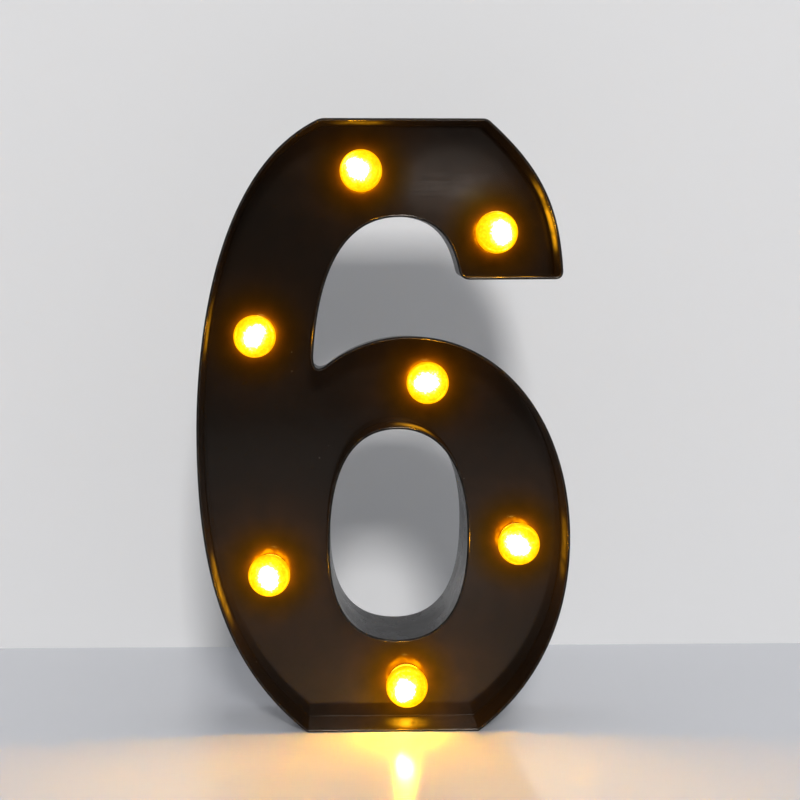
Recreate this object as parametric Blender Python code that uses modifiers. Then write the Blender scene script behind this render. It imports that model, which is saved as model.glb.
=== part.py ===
"""Marquee light in the shape of a numeral 6, run from two AA cells.

A black moulded tray stands on its flat foot with its open side to the front. Seven bulb caps
stand on the tray's floor, each over a 5 mm LED that a retainer holds from behind. A screwed
back cover carries the battery well, the battery door, the slide switch and a hanging hole.

Metres. X runs to the right as seen from the front, Y runs from the front to the back, Z is up.
The origin is under the middle of the body, in the plane of the foot.
"""

import math

import bmesh
import bpy
import numpy as np
from mathutils import Matrix

# Fits that all pieces share
GAP = 0.0003
OVERRUN = 0.001
WELD = 0.00001

# Body
BODY_WIDTH = 0.1339
BODY_HEIGHT = 0.220
BODY_DEPTH = 0.045
BODY_DRAFT = 0.0006
RIM_WIDTH = 0.0009
TRAY_DRAFT = 0.0004
FLOOR_THICKNESS = 0.0018
REAR_WALL = 0.0013
CROTCH_SETBACK = 0.0048
HOOK_INNER_SETBACK = 0.0034
HOOK_OUTER_SETBACK = 0.0032

# Back cover and its screws
COVER_RECESS = 0.0015
COVER_THICKNESS = 0.0016
BOSS_RADIUS = 0.0030
BOSS_BORE_DEPTH = 0.0070
SCREW_LENGTH = 0.0080
SCREW_RADIUS = 0.0011
SCREW_HEAD_RADIUS = 0.0023
SCREW_HEAD_HEIGHT = 0.0011
RECESS_WIDTH = 0.0005
RECESS_DEPTH = 0.0006
HEAD_FLAT_SHARE = 0.7
KEYHOLE_RADIUS = 0.0040
KEYHOLE_SLOT_RADIUS = 0.0019
KEYHOLE_RISE = 0.0075

# Bulb caps, LEDs and retainers
GLOBE_RADIUS = 0.0077
GLOBE_HEIGHT = 0.0105
CAP_WALL = 0.0011
CAP_WAIST_RADIUS = 0.0050
CAP_FLANGE_RADIUS = 0.0064
CAP_FLANGE_THICKNESS = 0.0010
CAP_STEM_RADIUS = 0.0045
CAP_STEM_REACH = 0.0033
LED_RADIUS = 0.0025
LED_FLANGE_RADIUS = 0.0029
LED_FLANGE_THICKNESS = 0.0010
LED_LENGTH = 0.0086
LED_LEAD_REACH = 0.0057
LED_LEAD_WIDTH = 0.0005
LED_LEAD_PITCH = 0.00254
RETAINER_WALL = 0.0015
RETAINER_PLATE = 0.0012

# Cells and battery well
CELL_DIAMETER = 0.0145
CELL_LENGTH = 0.0505
CELL_NUB_RADIUS = 0.00275
CELL_NUB_HEIGHT = 0.0010
CELL_EDGE = 0.0006
WELL_WALL = 0.0016
WELL_LEDGE = 0.0008
WELL_FLOOR = 0.0012
WIRE_CHANNEL = 0.0030
CELL_HEADROOM = 0.0004
CONTACT_THICKNESS = 0.0004
CONTACT_SIZE = 0.0090
CONTACT_TAB_WIDTH = 0.0030
CONTACT_TAB_REACH = 0.0015
SPRING_LENGTH = 0.0045
SPRING_WIRE_RADIUS = 0.00025
SPRING_BASE_RADIUS = 0.0040
SPRING_TIP_RADIUS = 0.0023
SPRING_TURNS = 3.5

# Battery door
DOOR_TAB_WIDTH = 0.0050
DOOR_TAB_THICKNESS = 0.0009
DOOR_TAB_REACH = 0.0012
DOOR_TAB_INSET = 0.0010
DOOR_RISER = 0.0015
TONGUE_WIDTH = 0.0100
TONGUE_LENGTH = 0.0070
TONGUE_SLIT = 0.0008
RIDGE_HEIGHT = 0.0006
RIDGE_WIDTH = 0.0009
RIDGE_COUNT = 3
THUMB_NOTCH_LENGTH = 0.0030
THUMB_NOTCH_DEPTH = 0.0009

# Slide switch
SWITCH_TRAVEL = 0.0030
STEM_LENGTH = 0.0034
STEM_WIDTH = 0.0028
STEM_PROUD = 0.0012
BLOCK_LENGTH = 0.0060
CAN_LENGTH = 0.0120
CAN_WIDTH = 0.0064
CAN_HEIGHT = 0.0050
CAN_WALL = 0.0005
EAR_THICKNESS = 0.0006
POST_RADIUS = 0.0011
POST_HEAD_RADIUS = 0.0019
POST_HEAD_THICKNESS = 0.0006
BASE_THICKNESS = 0.0010
TERMINAL_PITCH = 0.0030
TERMINAL_COUNT = 3
TERMINAL_WIDTH = 0.0010
TERMINAL_THICKNESS = 0.0004
PAD_LENGTH = 0.0022
PAD_WIDTH = 0.0030
PAD_THICKNESS = 0.0003

# Wiring
WIRE_RADIUS = 0.0006
WIRE_STEP = 0.0060
SPLICE_STEPS = 2
RESISTOR_RADIUS = 0.00115
RESISTOR_LENGTH = 0.0063
RESISTOR_WAIST = 0.0002
RESISTOR_LEAD_RADIUS = 0.00025
RESISTOR_OVERHANG = 0.0010

# Facets of round pieces
CURVE_STEPS = 12
CORNER_STEPS = 6
GLOBE_STEPS = 16
GLOBE_ARC_STEPS = 6
LED_DOME_STEPS = 3
SMALL_STEPS = 10
BOSS_STEPS = 10
HOLE_STEPS = 16
CELL_STEPS = 16
COIL_STEPS = 8

# Places as shares of the body's width, from its middle, and of its height, from the foot.
# An outline's row is its starting point and the two handles of the curve to the next row's
# point, or the point alone where the run is straight. The body lies to the left of the travel.
OUTLINE_SHARES = (
    ((-0.208, 0.000),),
    ((0.255, 0.000), (0.418, 0.074), (0.500, 0.186)),
    ((0.500, 0.317), (0.500, 0.504), (0.327, 0.650)),
    ((0.067, 0.650), (-0.031, 0.650), (-0.126, 0.625)),
    ((-0.191, 0.583), (-0.188, 0.673), (-0.165, 0.842)),
    ((0.041, 0.842), (0.170, 0.842), (0.190, 0.782)),
    ((0.204, 0.741),),
    ((0.478, 0.742), (0.470, 0.859), (0.420, 0.921)),
    ((0.273, 1.000),),
    ((-0.168, 1.000), (-0.493, 0.910), (-0.500, 0.552)),
    ((-0.500, 0.490), (-0.500, 0.276), (-0.439, 0.114)),
)
COUNTER_SHARES = (
    ((0.037, 0.499), (0.141, 0.499), (0.223, 0.448)),
    ((0.223, 0.327), (0.223, 0.262), (0.210, 0.153)),
    ((0.037, 0.153), (-0.127, 0.153), (-0.146, 0.242)),
    ((-0.146, 0.309), (-0.146, 0.388), (-0.124, 0.499)),
)
CORNER_SETBACKS = {4: CROTCH_SETBACK, 6: HOOK_INNER_SETBACK, 7: HOOK_OUTER_SETBACK}
BULB_SHARES = (
    (-0.0605, 0.9186),
    (0.3055, 0.8186),
    (-0.3473, 0.6482),
    (0.1195, 0.5714),
    (0.3689, 0.3032),
    (-0.3114, 0.2527),
    (0.0635, 0.0645),
)
SCREW_SHARES = (
    (-0.381, 0.750),
    (0.164, 0.961),
    (0.403, 0.766),
    (0.448, 0.418),
    (-0.067, 0.541),
    (-0.403, 0.205),
    (-0.082, 0.109),
    (0.246, 0.036),
)
WELL_SHARES = (-0.332, 0.450)
SWITCH_SHARES = (-0.209, 0.136)
KEYHOLE_SHARES = (0.030, 0.941)

# The pair of supply wires passes every LED. The third number of a row is how far its level
# has risen from the channel under the battery well to the plane behind the LED leads.
PAIR_SHARES = (
    (0.330, 0.802, 1.0),
    (*BULB_SHARES[1], 1.0),
    (0.246, 0.877, 1.0),
    (0.105, 0.923, 1.0),
    (*BULB_SHARES[0], 1.0),
    (-0.194, 0.877, 1.0),
    (-0.284, 0.782, 1.0),
    (*BULB_SHARES[2], 1.0),
    (-0.3465, 0.628, 0.62),
    (-0.345, 0.606, 0.27),
    (-0.343, 0.584, 0.0),
    (-0.332, 0.450, 0.0),
    (-0.318, 0.318, 0.0),
    (-0.316, 0.296, 0.27),
    (-0.313, 0.272, 0.62),
    (*BULB_SHARES[5], 1.0),
    (-0.321, 0.168, 1.0),
    (-0.276, 0.109, 1.0),
    (-0.179, 0.064, 1.0),
    (-0.060, 0.052, 1.0),
    (*BULB_SHARES[6], 1.0),
    (0.220, 0.100, 1.0),
    (0.340, 0.196, 1.0),
    (*BULB_SHARES[4], 1.0),
    (0.344, 0.436, 1.0),
    (0.254, 0.527, 1.0),
    (*BULB_SHARES[3], 1.0),
    (0.094, 0.575, 1.0),
)
RED_LEAD_SHARES = ((0.10, 0.25), (0.32, 0.75), (0.62, 1.0), (0.85, 0.75))
BLACK_LEAD_SHARES = ((0.15, 0.30), (0.50, 0.65), (0.80, 0.95))
RED_LEAD_RISE = 0.0020

# The bay behind the tray's floor is as deep as the cells need, and the tray has the rest
BAY_DEPTH = (WIRE_CHANNEL + WELL_FLOOR + GAP + CELL_DIAMETER + CELL_HEADROOM
             + COVER_THICKNESS + COVER_RECESS)
TRAY_DEPTH = BODY_DEPTH - FLOOR_THICKNESS - BAY_DEPTH

# Levels from the front to the back
FRONT_Y = -BODY_DEPTH / 2
BACK_Y = BODY_DEPTH / 2
FLOOR_FRONT_Y = FRONT_Y + TRAY_DEPTH
FLOOR_REAR_Y = FLOOR_FRONT_Y + FLOOR_THICKNESS
COVER_REAR_Y = BACK_Y - COVER_RECESS
COVER_FRONT_Y = COVER_REAR_Y - COVER_THICKNESS
BOSS_TOP_Y = COVER_FRONT_Y - GAP
WELL_FRONT_Y = FLOOR_REAR_Y + WIRE_CHANNEL
WELL_FLOOR_Y = WELL_FRONT_Y + WELL_FLOOR
CELL_Y = WELL_FLOOR_Y + GAP + CELL_DIAMETER / 2
CHANNEL_Y = FLOOR_REAR_Y + WIRE_CHANNEL / 2
LED_LEAD_Y = FLOOR_REAR_Y + CAP_STEM_REACH + LED_LEAD_REACH
PAIR_Y = LED_LEAD_Y + GAP + WIRE_RADIUS
RESISTOR_Y = PAIR_Y + WIRE_RADIUS + GAP + RESISTOR_LEAD_RADIUS
TERMINAL_Y = RESISTOR_Y + RESISTOR_LEAD_RADIUS + GAP
CAN_REAR_Y = COVER_FRONT_Y - GAP
CAN_FRONT_Y = CAN_REAR_Y - CAN_HEIGHT
PAD_Y = CAN_FRONT_Y + BASE_THICKNESS + GAP
BLOCK_FRONT_Y = PAD_Y + PAD_THICKNESS + GAP
BLOCK_REAR_Y = CAN_REAR_Y - EAR_THICKNESS - GAP

# Spans of the well and of the door over it
WELL_WIDTH = 2 * CELL_DIAMETER + 3 * GAP
WELL_LENGTH = CELL_LENGTH + SPRING_LENGTH + 2 * CONTACT_THICKNESS + 5 * GAP
WELL_X = WELL_SHARES[0] * BODY_WIDTH
WELL_Z = WELL_SHARES[1] * BODY_HEIGHT
WELL_LOW_Z = WELL_Z - WELL_LENGTH / 2
WELL_HIGH_Z = WELL_Z + WELL_LENGTH / 2
CELL_SPREAD = (CELL_DIAMETER + GAP) / 2
POCKET_WIDTH = WELL_WIDTH + 2 * WELL_LEDGE
POCKET_LENGTH = WELL_LENGTH + 2 * WELL_LEDGE
DOOR_WIDTH = POCKET_WIDTH - 2 * GAP
DOOR_LENGTH = POCKET_LENGTH - 2 * GAP
DOOR_LOW_Z = WELL_Z - DOOR_LENGTH / 2
TAB_SPREAD = DOOR_WIDTH / 2 - DOOR_TAB_WIDTH / 2 - DOOR_TAB_INSET
TAB_SWING = math.hypot(COVER_THICKNESS + GAP + DOOR_TAB_THICKNESS, DOOR_TAB_REACH)
SWITCH_X = SWITCH_SHARES[0] * BODY_WIDTH
SWITCH_Z = SWITCH_SHARES[1] * BODY_HEIGHT
POST_SPREAD = CAN_LENGTH / 2 + GAP + POST_HEAD_RADIUS
EAR_SPAN = 2 * (POST_SPREAD + POST_HEAD_RADIUS)
SLOT_LENGTH = STEM_LENGTH + SWITCH_TRAVEL + 2 * GAP
SLOT_WIDTH = STEM_WIDTH + 2 * GAP

# Colour, roughness, metallic and how strongly it glows
FINISHES = {
    "shell_black": ((0.018, 0.013, 0.011), 0.28, 0.0, 0.0),
    "cover_black": ((0.020, 0.018, 0.017), 0.50, 0.0, 0.0),
    "bulb_amber": ((1.000, 0.520, 0.060), 0.15, 0.0, 3.0),
    "led_clear": ((1.000, 0.820, 0.450), 0.10, 0.0, 6.0),
    "retainer_white": ((0.700, 0.690, 0.650), 0.45, 0.0, 0.0),
    "cell_label": ((0.050, 0.120, 0.260), 0.30, 0.2, 0.0),
    "contact_nickel": ((0.720, 0.700, 0.660), 0.30, 1.0, 0.0),
    "screw_steel": ((0.560, 0.560, 0.570), 0.35, 1.0, 0.0),
    "switch_steel": ((0.620, 0.620, 0.620), 0.30, 1.0, 0.0),
    "switch_black": ((0.015, 0.015, 0.015), 0.45, 0.0, 0.0),
    "phenolic_brown": ((0.180, 0.090, 0.040), 0.60, 0.0, 0.0),
    "wire_red": ((0.550, 0.020, 0.015), 0.40, 0.0, 0.0),
    "wire_black": ((0.012, 0.012, 0.012), 0.40, 0.0, 0.0),
    "resistor_tan": ((0.550, 0.400, 0.240), 0.50, 0.0, 0.0),
}

PARTS = "numeral_six_light"
CUTTERS = "cutters"


def clear_scene():
    for obj in list(bpy.data.objects):
        bpy.data.objects.remove(obj, do_unlink=True)


def collection(name):
    found = bpy.data.collections.get(name)
    if found is None:
        found = bpy.data.collections.new(name)
        bpy.context.scene.collection.children.link(found)
    return found


def material(name):
    found = bpy.data.materials.get(name)
    if found is not None:
        return found
    colour, roughness, metallic, glow = FINISHES[name]
    found = bpy.data.materials.new(name)
    found.use_nodes = True
    shader = found.node_tree.nodes["Principled BSDF"]
    shader.inputs["Base Color"].default_value = (*colour, 1.0)
    shader.inputs["Roughness"].default_value = roughness
    shader.inputs["Metallic"].default_value = metallic
    shader.inputs["Emission Color"].default_value = (*colour, 1.0)
    shader.inputs["Emission Strength"].default_value = glow
    return found


def part(name, data, finish):
    """Put an object with this mesh or curve among the parts."""
    obj = bpy.data.objects.new(name, data)
    collection(PARTS).objects.link(obj)
    if not data.materials:
        data.materials.append(material(finish))
    return obj


def shade(obj):
    obj.data.shade_smooth()
    obj.data.set_sharp_from_angle(angle=math.radians(35))
    return obj


def combine(target, operation, tool):
    """Cut or join a tool mesh, which is kept with the cutters as a wire guide."""
    guide = bpy.data.objects.new(tool.name, tool)
    guide.hide_render = True
    guide.display_type = "WIRE"
    collection(CUTTERS).objects.link(guide)
    modifier = target.modifiers.new(tool.name, "BOOLEAN")
    modifier.operation = operation
    modifier.object = guide
    return modifier


def cut(target, tool):
    return combine(target, "DIFFERENCE", tool)


def join(target, tool):
    return combine(target, "UNION", tool)


def finished_mesh(name, bm):
    bmesh.ops.recalc_face_normals(bm, faces=bm.faces)
    mesh = bpy.data.meshes.new(name)
    bm.to_mesh(mesh)
    bm.free()
    return mesh


def boxes(name, spans):
    """One mesh of boxes, each given by its spans in x, y and z."""
    bm = bmesh.new()
    for spans_xyz in spans:
        low, high = (np.array(ends) for ends in zip(*spans_xyz))
        scale = Matrix.Diagonal((*(high - low), 1.0))
        middle = Matrix.Translation((low + high) / 2)
        bmesh.ops.create_cube(bm, size=1.0, matrix=middle @ scale)
    return finished_mesh(name, bm)


def rods(name, centres, radius, y_front, y_back, steps):
    """One mesh of round rods along Y, each given by its centre in x and z."""
    bm = bmesh.new()
    turn = Matrix.Rotation(math.radians(90), 4, "X")
    for x, z in centres:
        middle = Matrix.Translation((x, (y_front + y_back) / 2, z))
        bmesh.ops.create_cone(bm, cap_ends=True, segments=steps, radius1=radius,
                              radius2=radius, depth=y_back - y_front, matrix=middle @ turn)
    return finished_mesh(name, bm)


def centred(middle, length):
    return (middle - length / 2, middle + length / 2)


def place(shares):
    return np.array(shares[:2]) * (BODY_WIDTH, BODY_HEIGHT)


def curve_run(row, end_shares):
    """Points from a row's start to the next row's start: a cubic curve or a straight run."""
    start, end = place(row[0]), place(end_shares)
    if len(row) == 1:
        return np.array([start, end])
    first, second = place(row[1]), place(row[2])
    t = np.linspace(0.0, 1.0, CURVE_STEPS + 1)[:, None]
    return ((1 - t) ** 3 * start + 3 * (1 - t) ** 2 * t * first
            + 3 * (1 - t) * t ** 2 * second + t ** 3 * end)


def trimmed(points, length):
    """Take a length off the start of a run of points."""
    steps = np.linalg.norm(np.diff(points, axis=0), axis=1)
    run = np.concatenate([[0.0], np.cumsum(steps)])
    start = [np.interp(length, run, points[:, axis]) for axis in range(2)]
    return np.vstack([start, points[run > length + GAP]])


def outline(rows, setbacks):
    """Closed loop through the rows; a setback softens its corner with a quadratic curve."""
    runs = [curve_run(row, rows[(i + 1) % len(rows)][0]) for i, row in enumerate(rows)]
    points = []
    t = np.linspace(0.0, 1.0, CORNER_STEPS + 1)[:, None]
    for i, run in enumerate(runs):
        if i in setbacks:
            before = trimmed(runs[i - 1][::-1], setbacks[i])[0]
            run = trimmed(run, setbacks[i])
            corner = place(rows[i][0])
            bend = (1 - t) ** 2 * before + 2 * (1 - t) * t * corner + t ** 2 * run[0]
            points.append(bend[:-1])
        after = (i + 1) % len(runs)
        if after in setbacks:
            run = trimmed(run[::-1], setbacks[after])[::-1]
        points.append(run[:-1])
    return np.vstack(points)


def inset(loop, distance):
    """Move a closed loop into the body by a distance, corners mitred; the foot stays flat."""
    edges = np.roll(loop, -1, axis=0) - loop
    edges /= np.linalg.norm(edges, axis=1)[:, None]
    normals = np.stack([-edges[:, 1], edges[:, 0]], axis=1)
    before = np.roll(normals, 1, axis=0)
    mitre = (normals + before) / (1 + np.sum(normals * before, axis=1))[:, None]
    moved = loop + distance * mitre
    moved[:, 1] = np.maximum(moved[:, 1], 0.0)
    return moved


def drafted(y):
    """How far the body's outside has spread at a depth behind the rim."""
    return BODY_DRAFT * (y - FRONT_Y) / BODY_DEPTH


def body_loops(distance):
    """The outline and the counter of the numeral, both moved into the body."""
    loops = (outline(OUTLINE_SHARES, CORNER_SETBACKS), outline(COUNTER_SHARES, {}))
    return [inset(loop, distance) for loop in loops]


def lofted(name, y_front, front_loops, y_back, back_loops):
    """Solid between two sets of matching loops, whose draft no straight extrusion gives."""
    bm = bmesh.new()
    rings = [[[bm.verts.new((x, y, z)) for x, z in loop] for loop in loops]
             for y, loops in ((y_front, front_loops), (y_back, back_loops))]
    for front, back in zip(*rings):
        for i in range(len(front)):
            bm.faces.new((front[i - 1], front[i], back[i], back[i - 1]))
    for ring in rings:
        edges = [bm.edges.get((loop[i - 1], loop[i])) for loop in ring for i in range(len(loop))]
        bmesh.ops.triangle_fill(bm, use_beauty=True, edges=edges)
    return finished_mesh(name, bm)


def plate(name, loops, y_front, y_back):
    """Flat plate across Y from a filled 2D curve; inner loops are its openings."""
    curve = bpy.data.curves.new(name, "CURVE")
    curve.dimensions = "2D"
    curve.fill_mode = "BOTH"
    curve.extrude = (y_back - y_front) / 2
    for loop in loops:
        spline = curve.splines.new("POLY")
        spline.points.add(len(loop) - 1)
        spline.use_cyclic_u = True
        for point, (x, z) in zip(spline.points, loop):
            point.co = (x, z, 0.0, 1.0)
    guide = bpy.data.objects.new(name, curve)
    collection(CUTTERS).objects.link(guide)
    depsgraph = bpy.context.evaluated_depsgraph_get()
    mesh = bpy.data.meshes.new_from_object(guide.evaluated_get(depsgraph))
    bpy.data.objects.remove(guide, do_unlink=True)
    bm = bmesh.new()
    bm.from_mesh(mesh)
    bpy.data.meshes.remove(mesh)
    bmesh.ops.remove_doubles(bm, verts=bm.verts, dist=WELD)
    middle = Matrix.Translation((0.0, (y_front + y_back) / 2, 0.0))
    bm.transform(middle @ Matrix.Rotation(math.radians(90), 4, "X"))
    return finished_mesh(name, bm)


def circle_loop(centre, radius, steps):
    angles = np.arange(steps) * math.tau / steps
    return np.array(centre) + radius * np.stack([np.cos(angles), np.sin(angles)], axis=1)


def rectangle_loop(x_span, z_span):
    return np.array([(x_span[0], z_span[0]), (x_span[1], z_span[0]),
                     (x_span[1], z_span[1]), (x_span[0], z_span[1])])


def keyhole_loop():
    """A round hole for a nail's head, with a slot above it for the nail's shank."""
    x, z = place(KEYHOLE_SHARES)
    lean = math.asin(KEYHOLE_SLOT_RADIUS / KEYHOLE_RADIUS)
    right = math.radians(90) - lean
    angles = np.linspace(right, right - math.tau + 2 * lean, HOLE_STEPS)
    hole = np.stack([x + KEYHOLE_RADIUS * np.cos(angles), z + KEYHOLE_RADIUS * np.sin(angles)], axis=1)
    angles = np.linspace(math.pi, 0.0, SMALL_STEPS // 2 + 1)
    slot = np.stack([x + KEYHOLE_SLOT_RADIUS * np.cos(angles),
                     z + KEYHOLE_RISE + KEYHOLE_SLOT_RADIUS * np.sin(angles)], axis=1)
    return np.vstack([hole, slot])


def turned(name, profile, steps, finish):
    """Round piece: a profile of radius and height, turned about Z by a Screw modifier."""
    bm = bmesh.new()
    verts = [bm.verts.new((radius, 0.0, height)) for radius, height in profile]
    for first, second in zip(verts, verts[1:]):
        bm.edges.new((first, second))
    mesh = bpy.data.meshes.new(name)
    bm.to_mesh(mesh)
    bm.free()
    obj = part(name, mesh, finish)
    screw = obj.modifiers.new("turn", "SCREW")
    screw.steps = steps
    screw.render_steps = steps
    screw.use_merge_vertices = True
    screw.merge_threshold = WELD
    screw.use_smooth_shade = True
    return obj


def tube(name, points, radius, resolution, finish):
    """Wire along points, as a curve with a round bevel and filled caps."""
    curve = bpy.data.curves.new(name, "CURVE")
    curve.dimensions = "3D"
    curve.bevel_depth = radius
    curve.bevel_resolution = resolution
    curve.use_fill_caps = True
    spline = curve.splines.new("POLY")
    spline.points.add(len(points) - 1)
    for point, place_xyz in zip(spline.points, points):
        point.co = (*place_xyz, 1.0)
    return part(name, curve, finish)


def smooth_route(points, step):
    """Catmull-Rom curve through the points, read off at even steps of its length."""
    points = np.array(points)
    ends = (2 * points[0] - points[1], 2 * points[-1] - points[-2])
    guide = np.vstack([ends[0], points, ends[1]])
    t = np.linspace(0.0, 1.0, CURVE_STEPS, endpoint=False)[:, None]
    runs = []
    for a, b, c, d in zip(guide, guide[1:], guide[2:], guide[3:]):
        runs.append((2 * b + (c - a) * t + (2 * a - 5 * b + 4 * c - d) * t ** 2
                     + (3 * b - a - 3 * c + d) * t ** 3) / 2)
    fine = np.vstack([*runs, points[-1:]])
    lengths = np.linalg.norm(np.diff(fine, axis=0), axis=1)
    run = np.concatenate([[0.0], np.cumsum(lengths)])
    count = max(3, round(run[-1] / step) + 1)
    even = np.linspace(0.0, run[-1], count)
    return np.stack([np.interp(even, run, fine[:, axis]) for axis in range(3)], axis=1)


def pair_points():
    """Middle line of the pair of supply wires, in x, y and z."""
    points = []
    for x_share, z_share, rise in PAIR_SHARES:
        x, z = place((x_share, z_share))
        points.append((x, CHANNEL_Y + rise * (PAIR_Y - CHANNEL_Y), z))
    return smooth_route(points, WIRE_STEP)


def sideways(points):
    """Unit vectors square to a route, in the plane of the body, to the left of its travel."""
    along = np.gradient(points[:, (0, 2)], axis=0)
    along /= np.linalg.norm(along, axis=1)[:, None]
    return np.stack([-along[:, 1], np.zeros(len(along)), along[:, 0]], axis=1)


def supply_wire(side):
    """One wire of the pair: +1 is the red one, on the left of the travel, and -1 the black."""
    points = pair_points()
    return points + side * LED_LEAD_PITCH / 2 * sideways(points)


def make_front_shell():
    shell = lofted("front_shell", FRONT_Y, body_loops(0.0), BACK_Y, body_loops(-BODY_DRAFT))
    tray = lofted("tray_cut", FRONT_Y - OVERRUN, body_loops(RIM_WIDTH),
                  FLOOR_FRONT_Y, body_loops(RIM_WIDTH + TRAY_DRAFT))
    cavity = lofted("cavity_cut", FLOOR_REAR_Y, body_loops(REAR_WALL - drafted(FLOOR_REAR_Y)),
                    BACK_Y + OVERRUN, body_loops(REAR_WALL - drafted(BACK_Y + OVERRUN)))
    centres = [place(shares) for shares in SCREW_SHARES]
    bosses = rods("screw_bosses", centres, BOSS_RADIUS,
                  FLOOR_REAR_Y - FLOOR_THICKNESS / 2, BOSS_TOP_Y, BOSS_STEPS)
    bores = rods("boss_bores", centres, SCREW_RADIUS + GAP,
                 BOSS_TOP_Y - BOSS_BORE_DEPTH, BOSS_TOP_Y + OVERRUN, BOSS_STEPS)
    bulbs = rods("bulb_holes", [place(shares) for shares in BULB_SHARES],
                 CAP_STEM_RADIUS + GAP, FLOOR_FRONT_Y - OVERRUN, FLOOR_REAR_Y + OVERRUN, HOLE_STEPS)
    obj = part("front_shell", shell, "shell_black")
    cut(obj, tray)
    cut(obj, cavity)
    join(obj, bosses)
    cut(obj, bores)
    cut(obj, bulbs)
    return shade(obj)


def well_tools():
    """The battery well's block, and the cuts for the door, the cells, the tabs and contacts."""
    block = boxes("well_block", [(
        centred(WELL_X, WELL_WIDTH + 2 * WELL_WALL),
        (WELL_FRONT_Y, COVER_FRONT_Y + COVER_THICKNESS / 2),
        centred(WELL_Z, WELL_LENGTH + 2 * WELL_WALL))])
    pocket = boxes("door_pocket", [(
        centred(WELL_X, POCKET_WIDTH),
        (COVER_FRONT_Y - GAP, COVER_REAR_Y + OVERRUN),
        centred(WELL_Z, POCKET_LENGTH))])
    hollow = boxes("cell_hollow", [(
        centred(WELL_X, WELL_WIDTH),
        (WELL_FLOOR_Y, COVER_REAR_Y + OVERRUN),
        centred(WELL_Z, WELL_LENGTH))])
    tabs = boxes("door_tab_notches", [(
        centred(WELL_X + side * TAB_SPREAD, DOOR_TAB_WIDTH + 2 * GAP),
        (COVER_REAR_Y - TAB_SWING - GAP, COVER_FRONT_Y),
        (WELL_LOW_Z - WELL_WALL - OVERRUN, WELL_LOW_Z + GAP)) for side in (-1, 1)])
    slots = boxes("contact_slots", [(
        centred(WELL_X + side * CELL_SPREAD, CONTACT_TAB_WIDTH + 2 * GAP),
        centred(CELL_Y, CONTACT_THICKNESS + 2 * GAP),
        (WELL_LOW_Z - WELL_WALL - OVERRUN, WELL_LOW_Z + GAP)) for side in (-1, 1)])
    thumb = boxes("thumb_notch", [(
        centred(WELL_X, TONGUE_WIDTH),
        (COVER_REAR_Y - THUMB_NOTCH_DEPTH, COVER_REAR_Y + OVERRUN),
        (WELL_Z + POCKET_LENGTH / 2 - GAP, WELL_Z + POCKET_LENGTH / 2 + THUMB_NOTCH_LENGTH))])
    return block, (pocket, hollow, tabs, slots, thumb)


def make_back_cover():
    loops = body_loops(REAR_WALL - drafted(COVER_FRONT_Y) + GAP)
    loops += [circle_loop(place(shares), SCREW_RADIUS + GAP, BOSS_STEPS) for shares in SCREW_SHARES]
    loops.append(rectangle_loop(centred(SWITCH_X, SLOT_LENGTH), centred(SWITCH_Z, SLOT_WIDTH)))
    loops.append(keyhole_loop())
    obj = part("back_cover", plate("back_cover", loops, COVER_FRONT_Y, COVER_REAR_Y), "cover_black")
    block, cuts = well_tools()
    join(obj, block)
    for tool in cuts:
        cut(obj, tool)
    centres = [(SWITCH_X + side * POST_SPREAD, SWITCH_Z) for side in (-1, 1)]
    head_rear_y = CAN_REAR_Y - EAR_THICKNESS - GAP
    head_front_y = head_rear_y - POST_HEAD_THICKNESS
    join(obj, rods("switch_posts", centres, POST_RADIUS, head_front_y + GAP,
                   COVER_FRONT_Y + COVER_THICKNESS / 2, BOSS_STEPS))
    join(obj, rods("post_heads", centres, POST_HEAD_RADIUS, head_front_y, head_rear_y, BOSS_STEPS))
    return shade(obj)


def make_cover_screws():
    """Pan-head screws, each with a cross recess, from the cover into the shell's bosses."""
    top = SCREW_HEAD_HEIGHT
    profile = [(0.0, top), (SCREW_HEAD_RADIUS * HEAD_FLAT_SHARE, top), (SCREW_HEAD_RADIUS, top / 2),
               (SCREW_HEAD_RADIUS, 0.0), (SCREW_RADIUS, 0.0),
               (SCREW_RADIUS, SCREW_RADIUS - SCREW_LENGTH), (0.0, -SCREW_LENGTH)]
    depth = (top - RECESS_DEPTH, top + OVERRUN)
    arms = (centred(0.0, 2 * SCREW_RADIUS), centred(0.0, RECESS_WIDTH))
    across = boxes("recess_across", [(arms[0], arms[1], depth)])
    upright = boxes("recess_upright", [(arms[1], arms[0], depth)])
    for number, shares in enumerate(SCREW_SHARES, start=1):
        x, z = place(shares)
        obj = turned(f"cover_screw_{number}", profile, SMALL_STEPS, "screw_steel")
        obj.location = (x, COVER_REAR_Y + GAP, z)
        obj.rotation_euler = (math.radians(-90), 0.0, 0.0)
        for tool in (across, upright):
            carry(cut(obj, tool), obj)


def empty_at(name, location):
    """An empty on a joint's axis, which the moving piece is parented to."""
    empty = bpy.data.objects.new(name, None)
    empty.location = location
    collection(PARTS).objects.link(empty)
    return empty


def carry(modifier, obj):
    """Let a modifier's tool follow the object that it works on."""
    modifier.object.parent = obj


def hang_on(obj, empty):
    obj.parent = empty
    obj.matrix_parent_inverse = Matrix.Translation(-empty.location)


def door_loop():
    """The door's outline, with a slit on each side of the latch tongue at its top."""
    x_low, x_high = centred(WELL_X, DOOR_WIDTH)
    z_low, z_high = centred(WELL_Z, DOOR_LENGTH)
    slit_z = z_high - TONGUE_LENGTH
    tongue = centred(WELL_X, TONGUE_WIDTH)
    points = [(x_low, z_low), (x_high, z_low), (x_high, z_high)]
    for side, edge in ((1, tongue[1]), (-1, tongue[0])):
        slit = sorted((edge, edge + side * TONGUE_SLIT), reverse=True)
        points += [(slit[0], z_high), (slit[0], slit_z), (slit[1], slit_z), (slit[1], z_high)]
    points.append((x_low, z_high))
    return np.array(points)


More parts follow.
